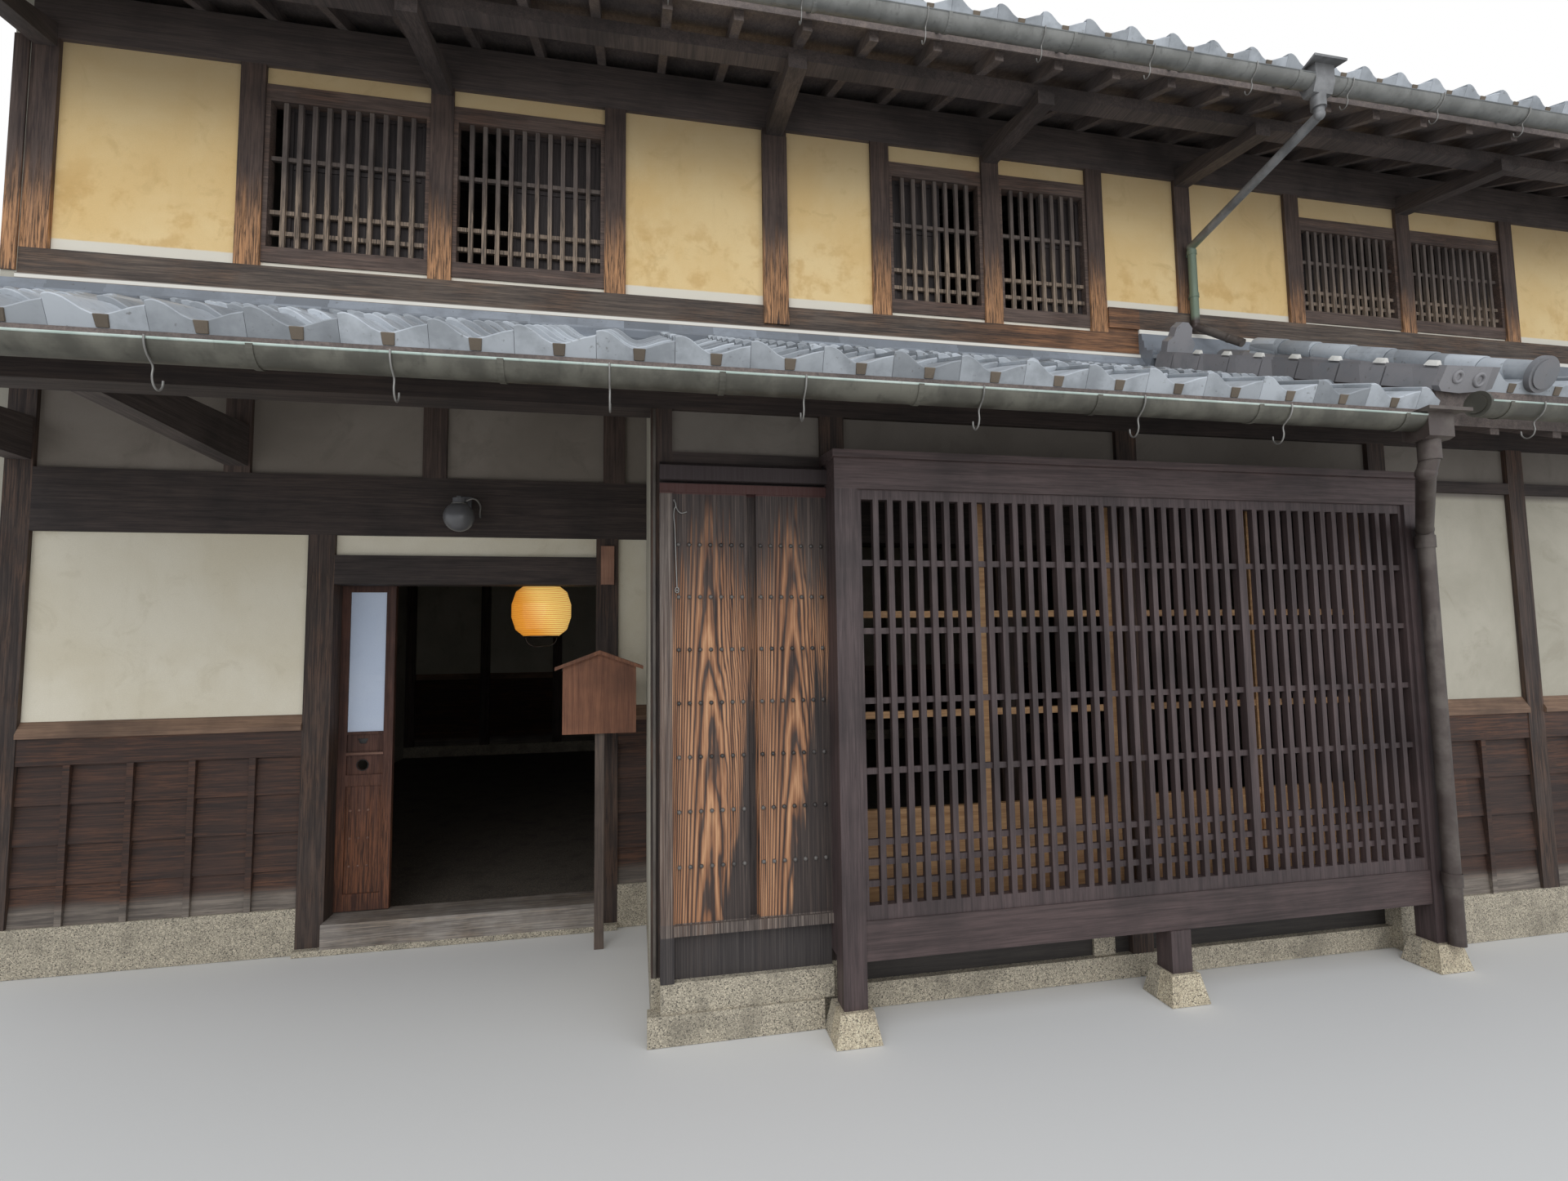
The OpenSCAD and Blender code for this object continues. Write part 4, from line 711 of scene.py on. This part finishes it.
def repeat(piece, count, x=0.0, y=0.0, z=0.0):
    """Copies a piece in a straight row, a step in millimetres apart."""
    apply(piece, "ARRAY", count=count, use_relative_offset=False, use_constant_offset=True,
          constant_offset_displace=(x * MM, y * MM, z * MM))
    return piece


print("tools for pieces are ready")

# %% Tools for bars and rods


def block(name, middle, size):
    """A plain block to shape further, in metres."""
    bpy.ops.mesh.primitive_cube_add(size=1.0, location=middle, scale=size)
    return start(name)


def soften(width, segments=2):
    """Takes the edges off the shape that is in edit mode, and leaves that mode."""
    bpy.ops.mesh.select_all(action="SELECT")
    bpy.ops.mesh.bevel(offset=width, segments=segments, affect="EDGES")
    done()


def sink(border, push):
    """Insets the picked face and pushes it back, in metres."""
    bpy.ops.mesh.select_mode(type="FACE")
    bpy.ops.mesh.inset(thickness=border, depth=0.0)
    bpy.ops.transform.translate(value=(0.0, push, 0.0))
    done()


def bar(name, low, high, bevel=2.0):
    """A bar between two corners, in millimetres, with its edges taken off."""
    low, high = Vector(low), Vector(high)
    made = block(name, spot(*((low + high) / 2)), (high - low) * MM)
    bpy.ops.object.mode_set(mode="EDIT")
    soften(bevel * MM)
    return made


def rod(name, points, radius, closed=False):
    """A bent round rod through points in millimetres."""
    curve = bpy.data.curves.new(name, "CURVE")
    curve.dimensions, curve.bevel_depth, curve.bevel_resolution = "3D", radius * MM, 2
    curve.use_fill_caps, curve.resolution_u = True, 6
    line = curve.splines.new("BEZIER")
    line.bezier_points.add(len(points) - 1)
    for knot, point in zip(line.bezier_points, points):
        knot.co = spot(*point)
        knot.handle_left_type = knot.handle_right_type = "AUTO"
    line.use_cyclic_u = closed
    made = bpy.data.objects.new(name, curve)
    bpy.context.scene.collection.objects.link(made)
    activate(made)
    bpy.ops.object.convert(target="MESH")
    return made


print("tools for bars and rods are ready")

# %% [markdown]
# ## Roof tiles
# Each roof tile is a thin sheet bent to one flat wave: a crest at its left edge and a trough right of
# its middle. One tile is bent from a grid, thickened and softened along its front lip. Then it is
# repeated across the roof and up the slope, each course lying on the one below it.

# %% Bend one tile
TILE, TROUGH, CREST, THICK, STEP = 264.5, 35.0, 54.0, 20.0, 22.0
JOINT, LAP_UP, LIFT, APRON, NEAR = 1.5, 8.0, 6.0, 20.0, 1e-5
WAVE = ((0.0, 0.92), (0.04, 0.98), (0.08, 1.0), (0.14, 0.93), (0.20, 0.80), (0.28, 0.53), (0.35, 0.28),
        (0.44, 0.07), (0.52, 0.0), (0.61, 0.08), (0.70, 0.22), (0.86, 0.50), (1.0, 0.66))


def tile(name, course, until=1.0, apron=False):
    """A tile at the origin: X across, Y up the slope, Z away from the boards."""
    stops = [stop for stop in WAVE if stop[0] <= until]
    bpy.ops.mesh.primitive_grid_add(x_subdivisions=len(stops) - 1, y_subdivisions=1, size=1.0)
    made = start(name)
    columns = sorted({round(vertex.co.x, 4) for vertex in made.data.vertices})
    for vertex in made.data.vertices:
        across, height = stops[columns.index(round(vertex.co.x, 4))]
        back, drop = (course + LAP_UP, STEP) if vertex.co.y > 0 else (0.0, 0.0)
        vertex.co = Vector((across * (TILE - JOINT), back, TROUGH + LIFT + CREST * height - drop)) * MM
    if apron:
        pick(made, lambda co: co.y < NEAR)
        bpy.ops.mesh.extrude_edges_move(TRANSFORM_OT_translate={"value": (0.0, 0.0, -APRON * MM)})
        bpy.ops.transform.resize(value=(1.0, 1.0, 0.0), center_override=(0.0, 0.0, 0.0))
        done()
    lip = len(made.data.vertices)
    apply(made, "SOLIDIFY", thickness=THICK * MM, offset=-1.0, use_even_offset=True)
    pick(made, lambda co: False)
    sheet = bmesh.from_edit_mesh(made.data)
    sheet.verts.ensure_lookup_table()
    bpy.ops.mesh.select_mode(type="EDGE")
    for edge in sheet.edges:
        edge.select_set(all(v.index < lip and v.co.y < NEAR and v.co.z > 0.01 for v in edge.verts))
    bmesh.update_edit_mesh(made.data)
    bpy.ops.mesh.bevel(offset=0.004, segments=1, affect="EDGES")
    done()
    return made


print("one tile has", len(tile("try_tile", 235.0).data.polygons), "faces")
bpy.ops.object.delete()

# %% Lay the tiles
dice = np.random.default_rng(11)
LOWER_RISE, UPPER_RISE = 0.44, 0.42
COURSE, RIDGE_GAP = 236.0, 60.0
DAB_X = 0.54 * TILE * MM


def spread(piece, columns, rows, course):
    """Repeats a tile across and up, and gives each copy a tone of its own."""
    faces = len(piece.data.polygons)
    repeat(repeat(piece, columns, x=TILE), rows, y=course)
    tones = piece.data.attributes.new("tone", "FLOAT", "FACE")
    tones.data.foreach_set("value", np.repeat(dice.random(columns * rows), faces).astype(np.float32))


def set_on_slope(piece, x, y, z, rise, rear=False):
    """Lays a flat field on a slope: its near left corner goes to x, y, z, in metres."""
    lean = Matrix.Rotation(math.atan(rise), 4, "X")
    turn = Matrix.Rotation(math.pi if rear else 0.0, 4, "Z")
    piece.matrix_world = Matrix.Translation((x, y, z)) @ turn @ lean


def mortar_dab(name):
    """A small block that is narrower at its foot."""
    dab = block(name, (DAB_X, -0.001, 0.022), (0.042, 0.006, 0.040))
    pick(dab, lambda co: co.z < 0.01)
    bpy.ops.transform.resize(value=(0.84, 1.0, 1.0), center_override=(DAB_X - 0.004, 0.0, 0.0))
    soften(0.0015, 1)
    return dab


def field(name, node, rise, first, columns, last=0.0, rear=False, to_ridge=False):
    """Covers one roof part: an eaves course with aprons, plain courses, and dabs of mortar."""
    low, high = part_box(node)
    slope = math.atan(rise)
    y = low.y + (TROUGH + CREST) * MM * math.sin(slope)
    top = (low.y + high.y) / 2 - RIDGE_GAP * MM if to_ridge else high.y
    length = (top - y) / math.cos(slope) / MM
    rows = round(length / COURSE)
    course = length / rows
    x = (low.x + high.x) / 2 - columns * TILE * MM / 2 if first is None else at_x(first)
    if rear:
        x, y = x + columns * TILE * MM, low.y + high.y - y
    parts = []
    for part, count, at, until in (("", columns, 0.0, 1.0), ("_last", 1, columns * TILE, last)):
        if until == 0.0:
            continue
        plain = tile(name + part, course, until)
        spread(plain, count, rows - 1, course)
        plain.location = (at * MM, course * MM, 0.0)
        eaves = tile(name + part + "_eaves", course, until, apron=True)
        spread(eaves, count, 1, course)
        eaves.location = (at * MM, 0.0, 0.0)
        parts += [plain, eaves]
    whole = join(name, parts)
    settle(whole)
    set_on_slope(whole, x, y, low.z, rise, rear)
    keep(whole, "roof_clay")
    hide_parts(node)

    dab = mortar_dab(name + "_mortar")
    spread(dab, columns, 1, course)
    set_on_slope(dab, x, y, low.z, rise, rear)
    keep(dab, "mortar")
    print(name, "has", len(whole.data.polygons), "faces in", rows, "courses")


field("lower_field_left", "lower_tiles_left", LOWER_RISE, -226.0, 25, last=0.44)
field("lower_field_right", "lower_tiles_right", LOWER_RISE, 6506.0, 17)
field("upper_field_front", "upper_tiles", UPPER_RISE, None, 43, to_ridge=True)
field("upper_field_rear", "upper_tiles", UPPER_RISE, None, 43, rear=True, to_ridge=True)

# %% [markdown]
# ## The shutter box
# Seven rows of forged nails hold the two tall boards. A nail head is a disc that is drawn out into a
# low dome; one head is repeated along a row and up the boards. A bent wire hook hangs at the left.

# %% Drive the shutter nails
SHUTTER_Y, BOARD_NAILS = -1310.0, 345.0


def dome(name, at, radius, rise, sides=10):
    """A round head that faces the street, drawn out of a disc in three steps."""
    centre = spot(*at)
    bpy.ops.mesh.primitive_circle_add(vertices=sides, radius=radius * MM, fill_type="NGON", location=centre,
                                      rotation=(math.pi / 2, 0.0, 0.0))
    made = start(name)
    bpy.ops.object.mode_set(mode="EDIT")
    bpy.ops.mesh.select_all(action="SELECT")
    for share, width in ((0.35, 1.0), (0.4, 0.8), (0.25, 0.55)):
        bpy.ops.mesh.extrude_region_move(TRANSFORM_OT_translate={"value": (0.0, -rise * share * MM, 0.0)})
        bpy.ops.transform.resize(value=(width, 1.0, width), center_override=centre)
    bpy.ops.mesh.select_all(action="SELECT")
    bpy.ops.mesh.normals_make_consistent(inside=False)
    done()
    return made


nails = []
for side, first in enumerate((NAIL_X, NAIL_X + BOARD_NAILS)):
    head = dome("nails_%d" % side, (first, SHUTTER_Y, NAIL_Z), 9.0, 9.0)
    nails.append(repeat(repeat(head, 7, x=NAIL_STEP), 7, z=NAIL_RISE))
keep(join("shutter_nails", nails), "nail_iron", smooth=60.0)
print("the nails are in")

# %% Hang the wire hook and set the corner bead
WIRE_Y = SHUTTER_Y - 6.0


def wire(name, bends, radius=2.6, closed=False):
    return rod(name, [(x, WIRE_Y, z) for x, z in bends], radius, closed)


LONG = (3237, 2180), (3243, 2158), (3236, 2140), (3239, 2060), (3244, 1900), (3247, 1815)
hook = [wire("hook_long", LONG),
        wire("hook_short", ((3240, 2172), (3250, 2140), (3264, 2127), (3289, 2132))),
        wire("hook_eye", ((3247, 1815), (3254, 1804), (3247, 1793), (3240, 1804)), 2.4, True),
        bar("hook_staple", (3232, WIRE_Y, 2176), (3240, SHUTTER_Y, 2184), 1.5),
        bar("hook_foot", (3244, WIRE_Y, 1800), (3250, SHUTTER_Y, 1807), 1.5)]
keep(join("shutter_hook", hook), "wire_metal", smooth=50.0)
bead = bar("corner_bead", (3150, -1262, 240), (3163, -1250, 2585), 2.5)
keep(bead, "bead_grey")
print("hook and bead are set")

# %% [markdown]
# ## The door leaf
# Paper lies in the five tall upper fields of the leaf, on both faces, with a thin strip below each.
# The last column has a tapered pull and a rim round the finger hole, and pegs mark the low fields.

# %% Glaze and fit the leaf
LEAF_X, FIELD_STEP, FIELD_W, LEAF_Z, LEAF_H = 368.0, 287.2, 185.2, 161.0, 1799.0
EIGHTHS = np.linspace(0, 2 * math.pi, 9)[:-1]
leaf_low, leaf_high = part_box("door_leaf")
LEAF_FRONT, LEAF_BACK = ((v - SHIFT.y) / MM for v in (leaf_low.y, leaf_high.y))


def leaf_height(share):
    return LEAF_Z + share * LEAF_H


sheets, strips = [], []
FACES = ("front", LEAF_FRONT + 8.0, LEAF_FRONT - 3.0), ("back", LEAF_BACK - 12.0, LEAF_BACK)
for face, paper_y, strip_y in FACES:
    sheet = bar("paper_" + face, (LEAF_X, paper_y, leaf_height(0.536)),
                (LEAF_X + FIELD_W, paper_y + 4.0, leaf_height(0.967)), 0.8)
    sheets.append(repeat(sheet, 5, x=FIELD_STEP))
    strip = bar("strip_" + face, (LEAF_X - 2, strip_y, leaf_height(0.4665)),
                (LEAF_X + FIELD_W + 2, strip_y + 3.0, leaf_height(0.4725)), 0.8)
    strips.append(repeat(strip, 5, x=FIELD_STEP))
keep(join("door_paper", sheets), "paper", "door")
keep(join("door_strips", strips), "strip_wood", "door")

pull_x, pull_z = LEAF_X + 4 * FIELD_STEP + 0.43 * FIELD_W, leaf_height(0.507)
pull = bar("pull", (pull_x - 27, LEAF_FRONT + 9.5, pull_z - 14),
           (pull_x + 27, LEAF_FRONT + 12.0, pull_z + 14), 1.0)
pick(pull, lambda co: co.z < spot(0, 0, pull_z - 10).z)
bpy.ops.transform.resize(value=(0.6, 1.0, 1.0), center_override=spot(pull_x, LEAF_FRONT, pull_z))
done()
ring = rod("ring", [(pull_x + 29 * math.cos(a), LEAF_FRONT + 10.0, leaf_height(0.434) + 29 * math.sin(a))
                    for a in EIGHTHS], 3.0, closed=True)
pegs = repeat(dome("pegs", (LEAF_X + 24, LEAF_FRONT + 12.0, 396.0), 7.0, 3.5, 8), 3, x=45.0)
pegs = repeat(repeat(pegs, 3, z=150.0), 5, x=FIELD_STEP)
keep(join("door_fittings", [pull, ring]), "lacquer", "door", 50.0)
keep(pegs, "strip_wood", "door", 50.0)
print("the leaf is glazed and fitted")

# %% [markdown]
# ## Rain goods and lamps
# A rolled bead stiffens the street edge of each gutter, and thin hooks run round its front and end in
# a J below it. The globe lamp hangs from a bent bracket; the paper lantern has black rims and a wire
# foot.

# %% Bead the gutters and hang the hooks
GUTTER_R = 55.0
LOWER_Y, UPPER_Y, REAR_Y = -1960.0, -1059.0, 6900.0 + 1059.0
LOWER_RIM, RAISED_RIM, UPPER_RIM = 2475.0, 2553.0, 4769.7
RUNS = ((-225.5, 6250.0, LOWER_Y, LOWER_RIM), (6598.0, 11015.5, LOWER_Y, RAISED_RIM),
        (-384.5, 6859.5, UPPER_Y, UPPER_RIM), (6989.5, 11174.5, UPPER_Y, UPPER_RIM),
        (-384.5, 11174.5, REAR_Y, UPPER_RIM))
beads = []
for i, (x0, x1, y, z) in enumerate(RUNS):
    out = math.copysign(GUTTER_R - 2.0, y)
    beads.append(rod("bead_%d" % i, [(x0, y + out, z), (x1, y + out, z)], 5.0))
keep(join("gutter_beads", beads), "rim_metal", smooth=60.0)


HOOK_BENDS = ((-60, 6), (-59, -14), (-46, -40), (-26, -57), (-14, -68), (-14, -104), (-2, -126), (18, -131),
              (34, -116), (37, -96))


def hooks(name, first, count, rim, line):
    """Thin hooks that run round the front of a gutter and end in a J, which points to the house."""
    made = rod(name, [(first, line + out, rim + drop) for out, drop in HOOK_BENDS], 3.2)
    return repeat(made, count, x=648.0)


keep(join("eave_hooks", [hooks("hooks_left", 404.0, 9, LOWER_RIM, LOWER_Y),
                         hooks("hooks_right", 6870.0, 7, RAISED_RIM, LOWER_Y),
                         hooks("hooks_upper", -12.0, 18, UPPER_RIM, UPPER_Y)]),
     "wire_metal", smooth=60.0)
print(len(RUNS), "gutters are beaded")

# %% Fit the lamps
GLOBE_X, GLOBE_Y, GLOBE_Z = 2137.5, -150.0, 2291.0


def circle(name, x, y, z, radius, thick):
    points = [(x + radius * math.cos(a), y + radius * math.sin(a), z) for a in EIGHTHS]
    return rod(name, points, thick, closed=True)


collar = circle("lamp_collar", GLOBE_X, GLOBE_Y, GLOBE_Z + 72.0, 36.0, 4.0)
bends = (34, 0, 88), (70, 10, 104), (96, 50, 80), (88, 100, 40), (80, 147, 24)
bracket = rod("lamp_bracket", [(GLOBE_X + x, GLOBE_Y + y, GLOBE_Z + z) for x, y, z in bends], 5.0)
keep(join("lamp_fittings", [collar, bracket]), "wire_metal", smooth=60.0)
rims = [circle("rim_low", LANTERN_X, LANTERN_Y, LANTERN_Z + 4.0, 102.0, 7.0),
        circle("rim_high", LANTERN_X, LANTERN_Y, LANTERN_Z + LANTERN_H - 4.0, 102.0, 7.0),
        circle("foot_ring", LANTERN_X, LANTERN_Y, LANTERN_Z - 60.0, 46.0, 3.0)]
for side in (-1, 1):
    leg = [(LANTERN_X + side * x, LANTERN_Y, LANTERN_Z - z) for x, z in ((98, 0), (80, 40), (46, 60))]
    rims.append(rod("foot_leg_%d" % (side + 1), leg, 3.0))
keep(join("lantern_rims", rims), "lacquer", smooth=60.0)
print("the lamps are fitted")

# %% [markdown]
# ## Boards behind the windows
# A pair of dark boards stands in the groove behind the bars of each street window and covers about
# half of it. A board is a slab whose face is inset and pushed in, with a rail above its middle.

# %% Stand boards behind the bars
PANE_FRONT, PANE_BACK, RAIL_SHARE = 63.0, 77.0, 0.57


def window_board(name, x0, x1, z0, z1):
    made = bar(name, (x0, PANE_FRONT, z0), (x1, PANE_BACK, z1), 1.0)
    pick(made, lambda co: co.y < at_y(PANE_FRONT + 0.5))
    sink(0.03, 0.006)
    rail_z = z0 + RAIL_SHARE * (z1 - z0)
    rail = bar(name + "_rail", (x0 + 32.0, 62.0, rail_z), (x1 - 32.0, 70.0, rail_z + 26.0), 1.0)
    return [made, rail]


WINDOWS = ((3811.0, 4660.0, (1146.0, 1880.0), (2350.0, 2866.0)),
           (3811.0, 4648.0, (4732.0, 5080.0), (5800.0, 6118.0)),
           (3986.0, 4603.0, (7930.0, 8420.0), (9300.0, 9770.0)))
boards = []
for z0, z1, *pair in WINDOWS:
    for x0, x1 in pair:
        boards += window_board("board_%d" % len(boards), x0, x1, z0, z1)
keep(join("window_boards", boards), "window_wood")
print("boards stand behind the windows")

# %% [markdown]
# ## Verge, ridge and corner
# A dab of pale lime seals the joint on top of each hanging tile. The dab is a low block whose top is
# drawn in to a ridge; the row of dabs follows the slope.

# %% Seal the verge with lime
VERGE_X, VERGE_Y, HANGING, HANGING_STEP = 6485.0, -1864.4, 7, 242.0
verge_z = (LOWER_RIM + 83.0) + (VERGE_Y + 1850.0) * LOWER_RISE + 100.0
lime = block("verge_lime", (0.0, 0.030, 0.1), (0.034, 0.06, 0.018))
pick(lime, lambda co: co.z > 0.1)
bpy.ops.transform.resize(value=(0.35, 0.8, 1.0), center_override=(0.0, 0.03, 0.1))
bpy.ops.transform.translate(value=(0.0, 0.0, 0.006))
soften(0.003)
repeat(lime, HANGING, y=HANGING_STEP)
set_on_slope(lime, *spot(VERGE_X, VERGE_Y, verge_z), LOWER_RISE)
keep(lime, "lime_white")
print("the verge is sealed")

# %% [markdown]
# A row of round cover tiles runs up the raised roof near its verge. One tile is a cylinder that is
# drawn in at its upper end and inset at its front, so that it slips under the one above it.

# %% Roll the cover tiles
ROLL_X, ROLL_Y, ROLL_Z = 7035.0, -1900.0, 2735.0
ROLL_R, ROLL_STEP, ROLL_RISE, ROLL_COUNT = 56.0, 236.0, 0.5, 7
half_way = ROLL_STEP / 2 * MM
bpy.ops.mesh.primitive_cylinder_add(vertices=24, radius=ROLL_R * MM, depth=ROLL_STEP * MM,
                                    location=(0.0, half_way, 0.0), rotation=(math.pi / 2, 0.0, 0.0))
roll = start("verge_roll")
pick(roll, lambda co: co.y > half_way)
bpy.ops.transform.resize(value=(0.9, 1.0, 0.9), center_override=(0.0, 0.0, 0.0))
done()
pick(roll, lambda co: co.y < half_way)
sink(0.012, 0.004)
apply(roll, "BEVEL", width=0.003, segments=2, limit_method="ANGLE")
repeat(roll, ROLL_COUNT, y=ROLL_STEP)

roll_length = ROLL_COUNT * ROLL_STEP * MM
bed = block("verge_bed", (0.0, roll_length / 2, -0.055), (0.07, roll_length, 0.11))
pick(bed, lambda co: co.z < -0.1)
bpy.ops.transform.resize(value=(1.3, 1.0, 1.0), center_override=(0.0, 0.0, 0.0))
soften(0.004, 1)
for part in (roll, bed):
    set_on_slope(part, *spot(ROLL_X, ROLL_Y, ROLL_Z), ROLL_RISE)
    settle(part)
keep(join("verge_roll", [roll, bed]), "row_clay")
print(ROLL_COUNT, "cover tiles lie on a bed", round(roll_length, 3), "m long")

# %% Bed the ridge and board the corner
ridge_low, ridge_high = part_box("ridge_tiles")
ridge_y = ((ridge_low.y + ridge_high.y) / 2 - SHIFT.y) / MM
ridge_x0, ridge_x1 = (ridge_low.x - SHIFT.x) / MM + 80, (ridge_high.x - SHIFT.x) / MM - 80
ridge_z = ridge_low.z / MM
ridge_bed = bar("ridge_bed", (ridge_x0, ridge_y - 100, ridge_z - 70),
                (ridge_x1, ridge_y + 100, ridge_z + 20), 6.0)
keep(ridge_bed, "mortar")
corner_board = bar("corner_board", (-134.0, -12.0, 3560.0), (-64.0, -0.5, 4850.0), 2.0)
keep(corner_board, "upper_post")
print("ridge bed and corner board are laid")

# %% [markdown]
# ## Floor and light
# The house stands on a plain pale floor under an even, soft sky, as on a bright day without sun. The
# sky that the camera sees is white, while the light that falls on the house stays at a plain level.

# %% Lay the floor and light the scene
bpy.ops.mesh.primitive_plane_add(size=120.0, location=(0.0, 0.0, -0.002))
floor = bpy.context.active_object
floor.name = "studio_floor"
Finish("studio_floor", 0.9).set(linear((226, 225, 222)))
dress(floor.data, "studio_floor")

sky = bpy.data.worlds.new("soft_sky")
bpy.context.scene.world = sky
sky.use_nodes = True
nodes, links = sky.node_tree.nodes, sky.node_tree.links
nodes.clear()
path, seen, skylight, white, choice, out = (nodes.new("ShaderNode" + kind) for kind in (
    "LightPath", "Math", "Background", "Background", "MixShader", "OutputWorld"))
seen.operation = "MAXIMUM"
links.new(path.outputs["Is Camera Ray"], seen.inputs[0])
links.new(path.outputs["Is Transmission Ray"], seen.inputs[1])
skylight.inputs["Color"].default_value = (0.86, 0.90, 0.96, 1.0)
skylight.inputs["Strength"].default_value = 0.95
white.inputs["Color"].default_value = (1.0, 1.0, 1.0, 1.0)
white.inputs["Strength"].default_value = 1.0
links.new(seen.outputs[0], choice.inputs[0])
links.new(skylight.outputs[0], choice.inputs[1])
links.new(white.outputs[0], choice.inputs[2])
links.new(choice.outputs[0], out.inputs[0])


def soft_box(name, where, aim, size, power):
    lamp = bpy.data.lights.new(name, "AREA")
    lamp.shape, lamp.size, lamp.energy = "SQUARE", size, power
    lamp_object = bpy.data.objects.new(name, lamp)
    bpy.context.scene.collection.objects.link(lamp_object)
    lamp_object.location = where
    lamp_object.rotation_euler = (Vector(aim) - Vector(where)).to_track_quat("-Z", "Y").to_euler()


soft_box("street_light", (-5.0, -13.0, 9.0), (0.0, -3.0, 2.5), 8.0, 420.0)
soft_box("low_light", (4.0, -14.0, 3.0), (0.0, -3.0, 2.5), 8.0, 180.0)
print("floor and light are set")

# %% Set how colours are shown
bpy.context.scene.view_settings.view_transform = "Standard"
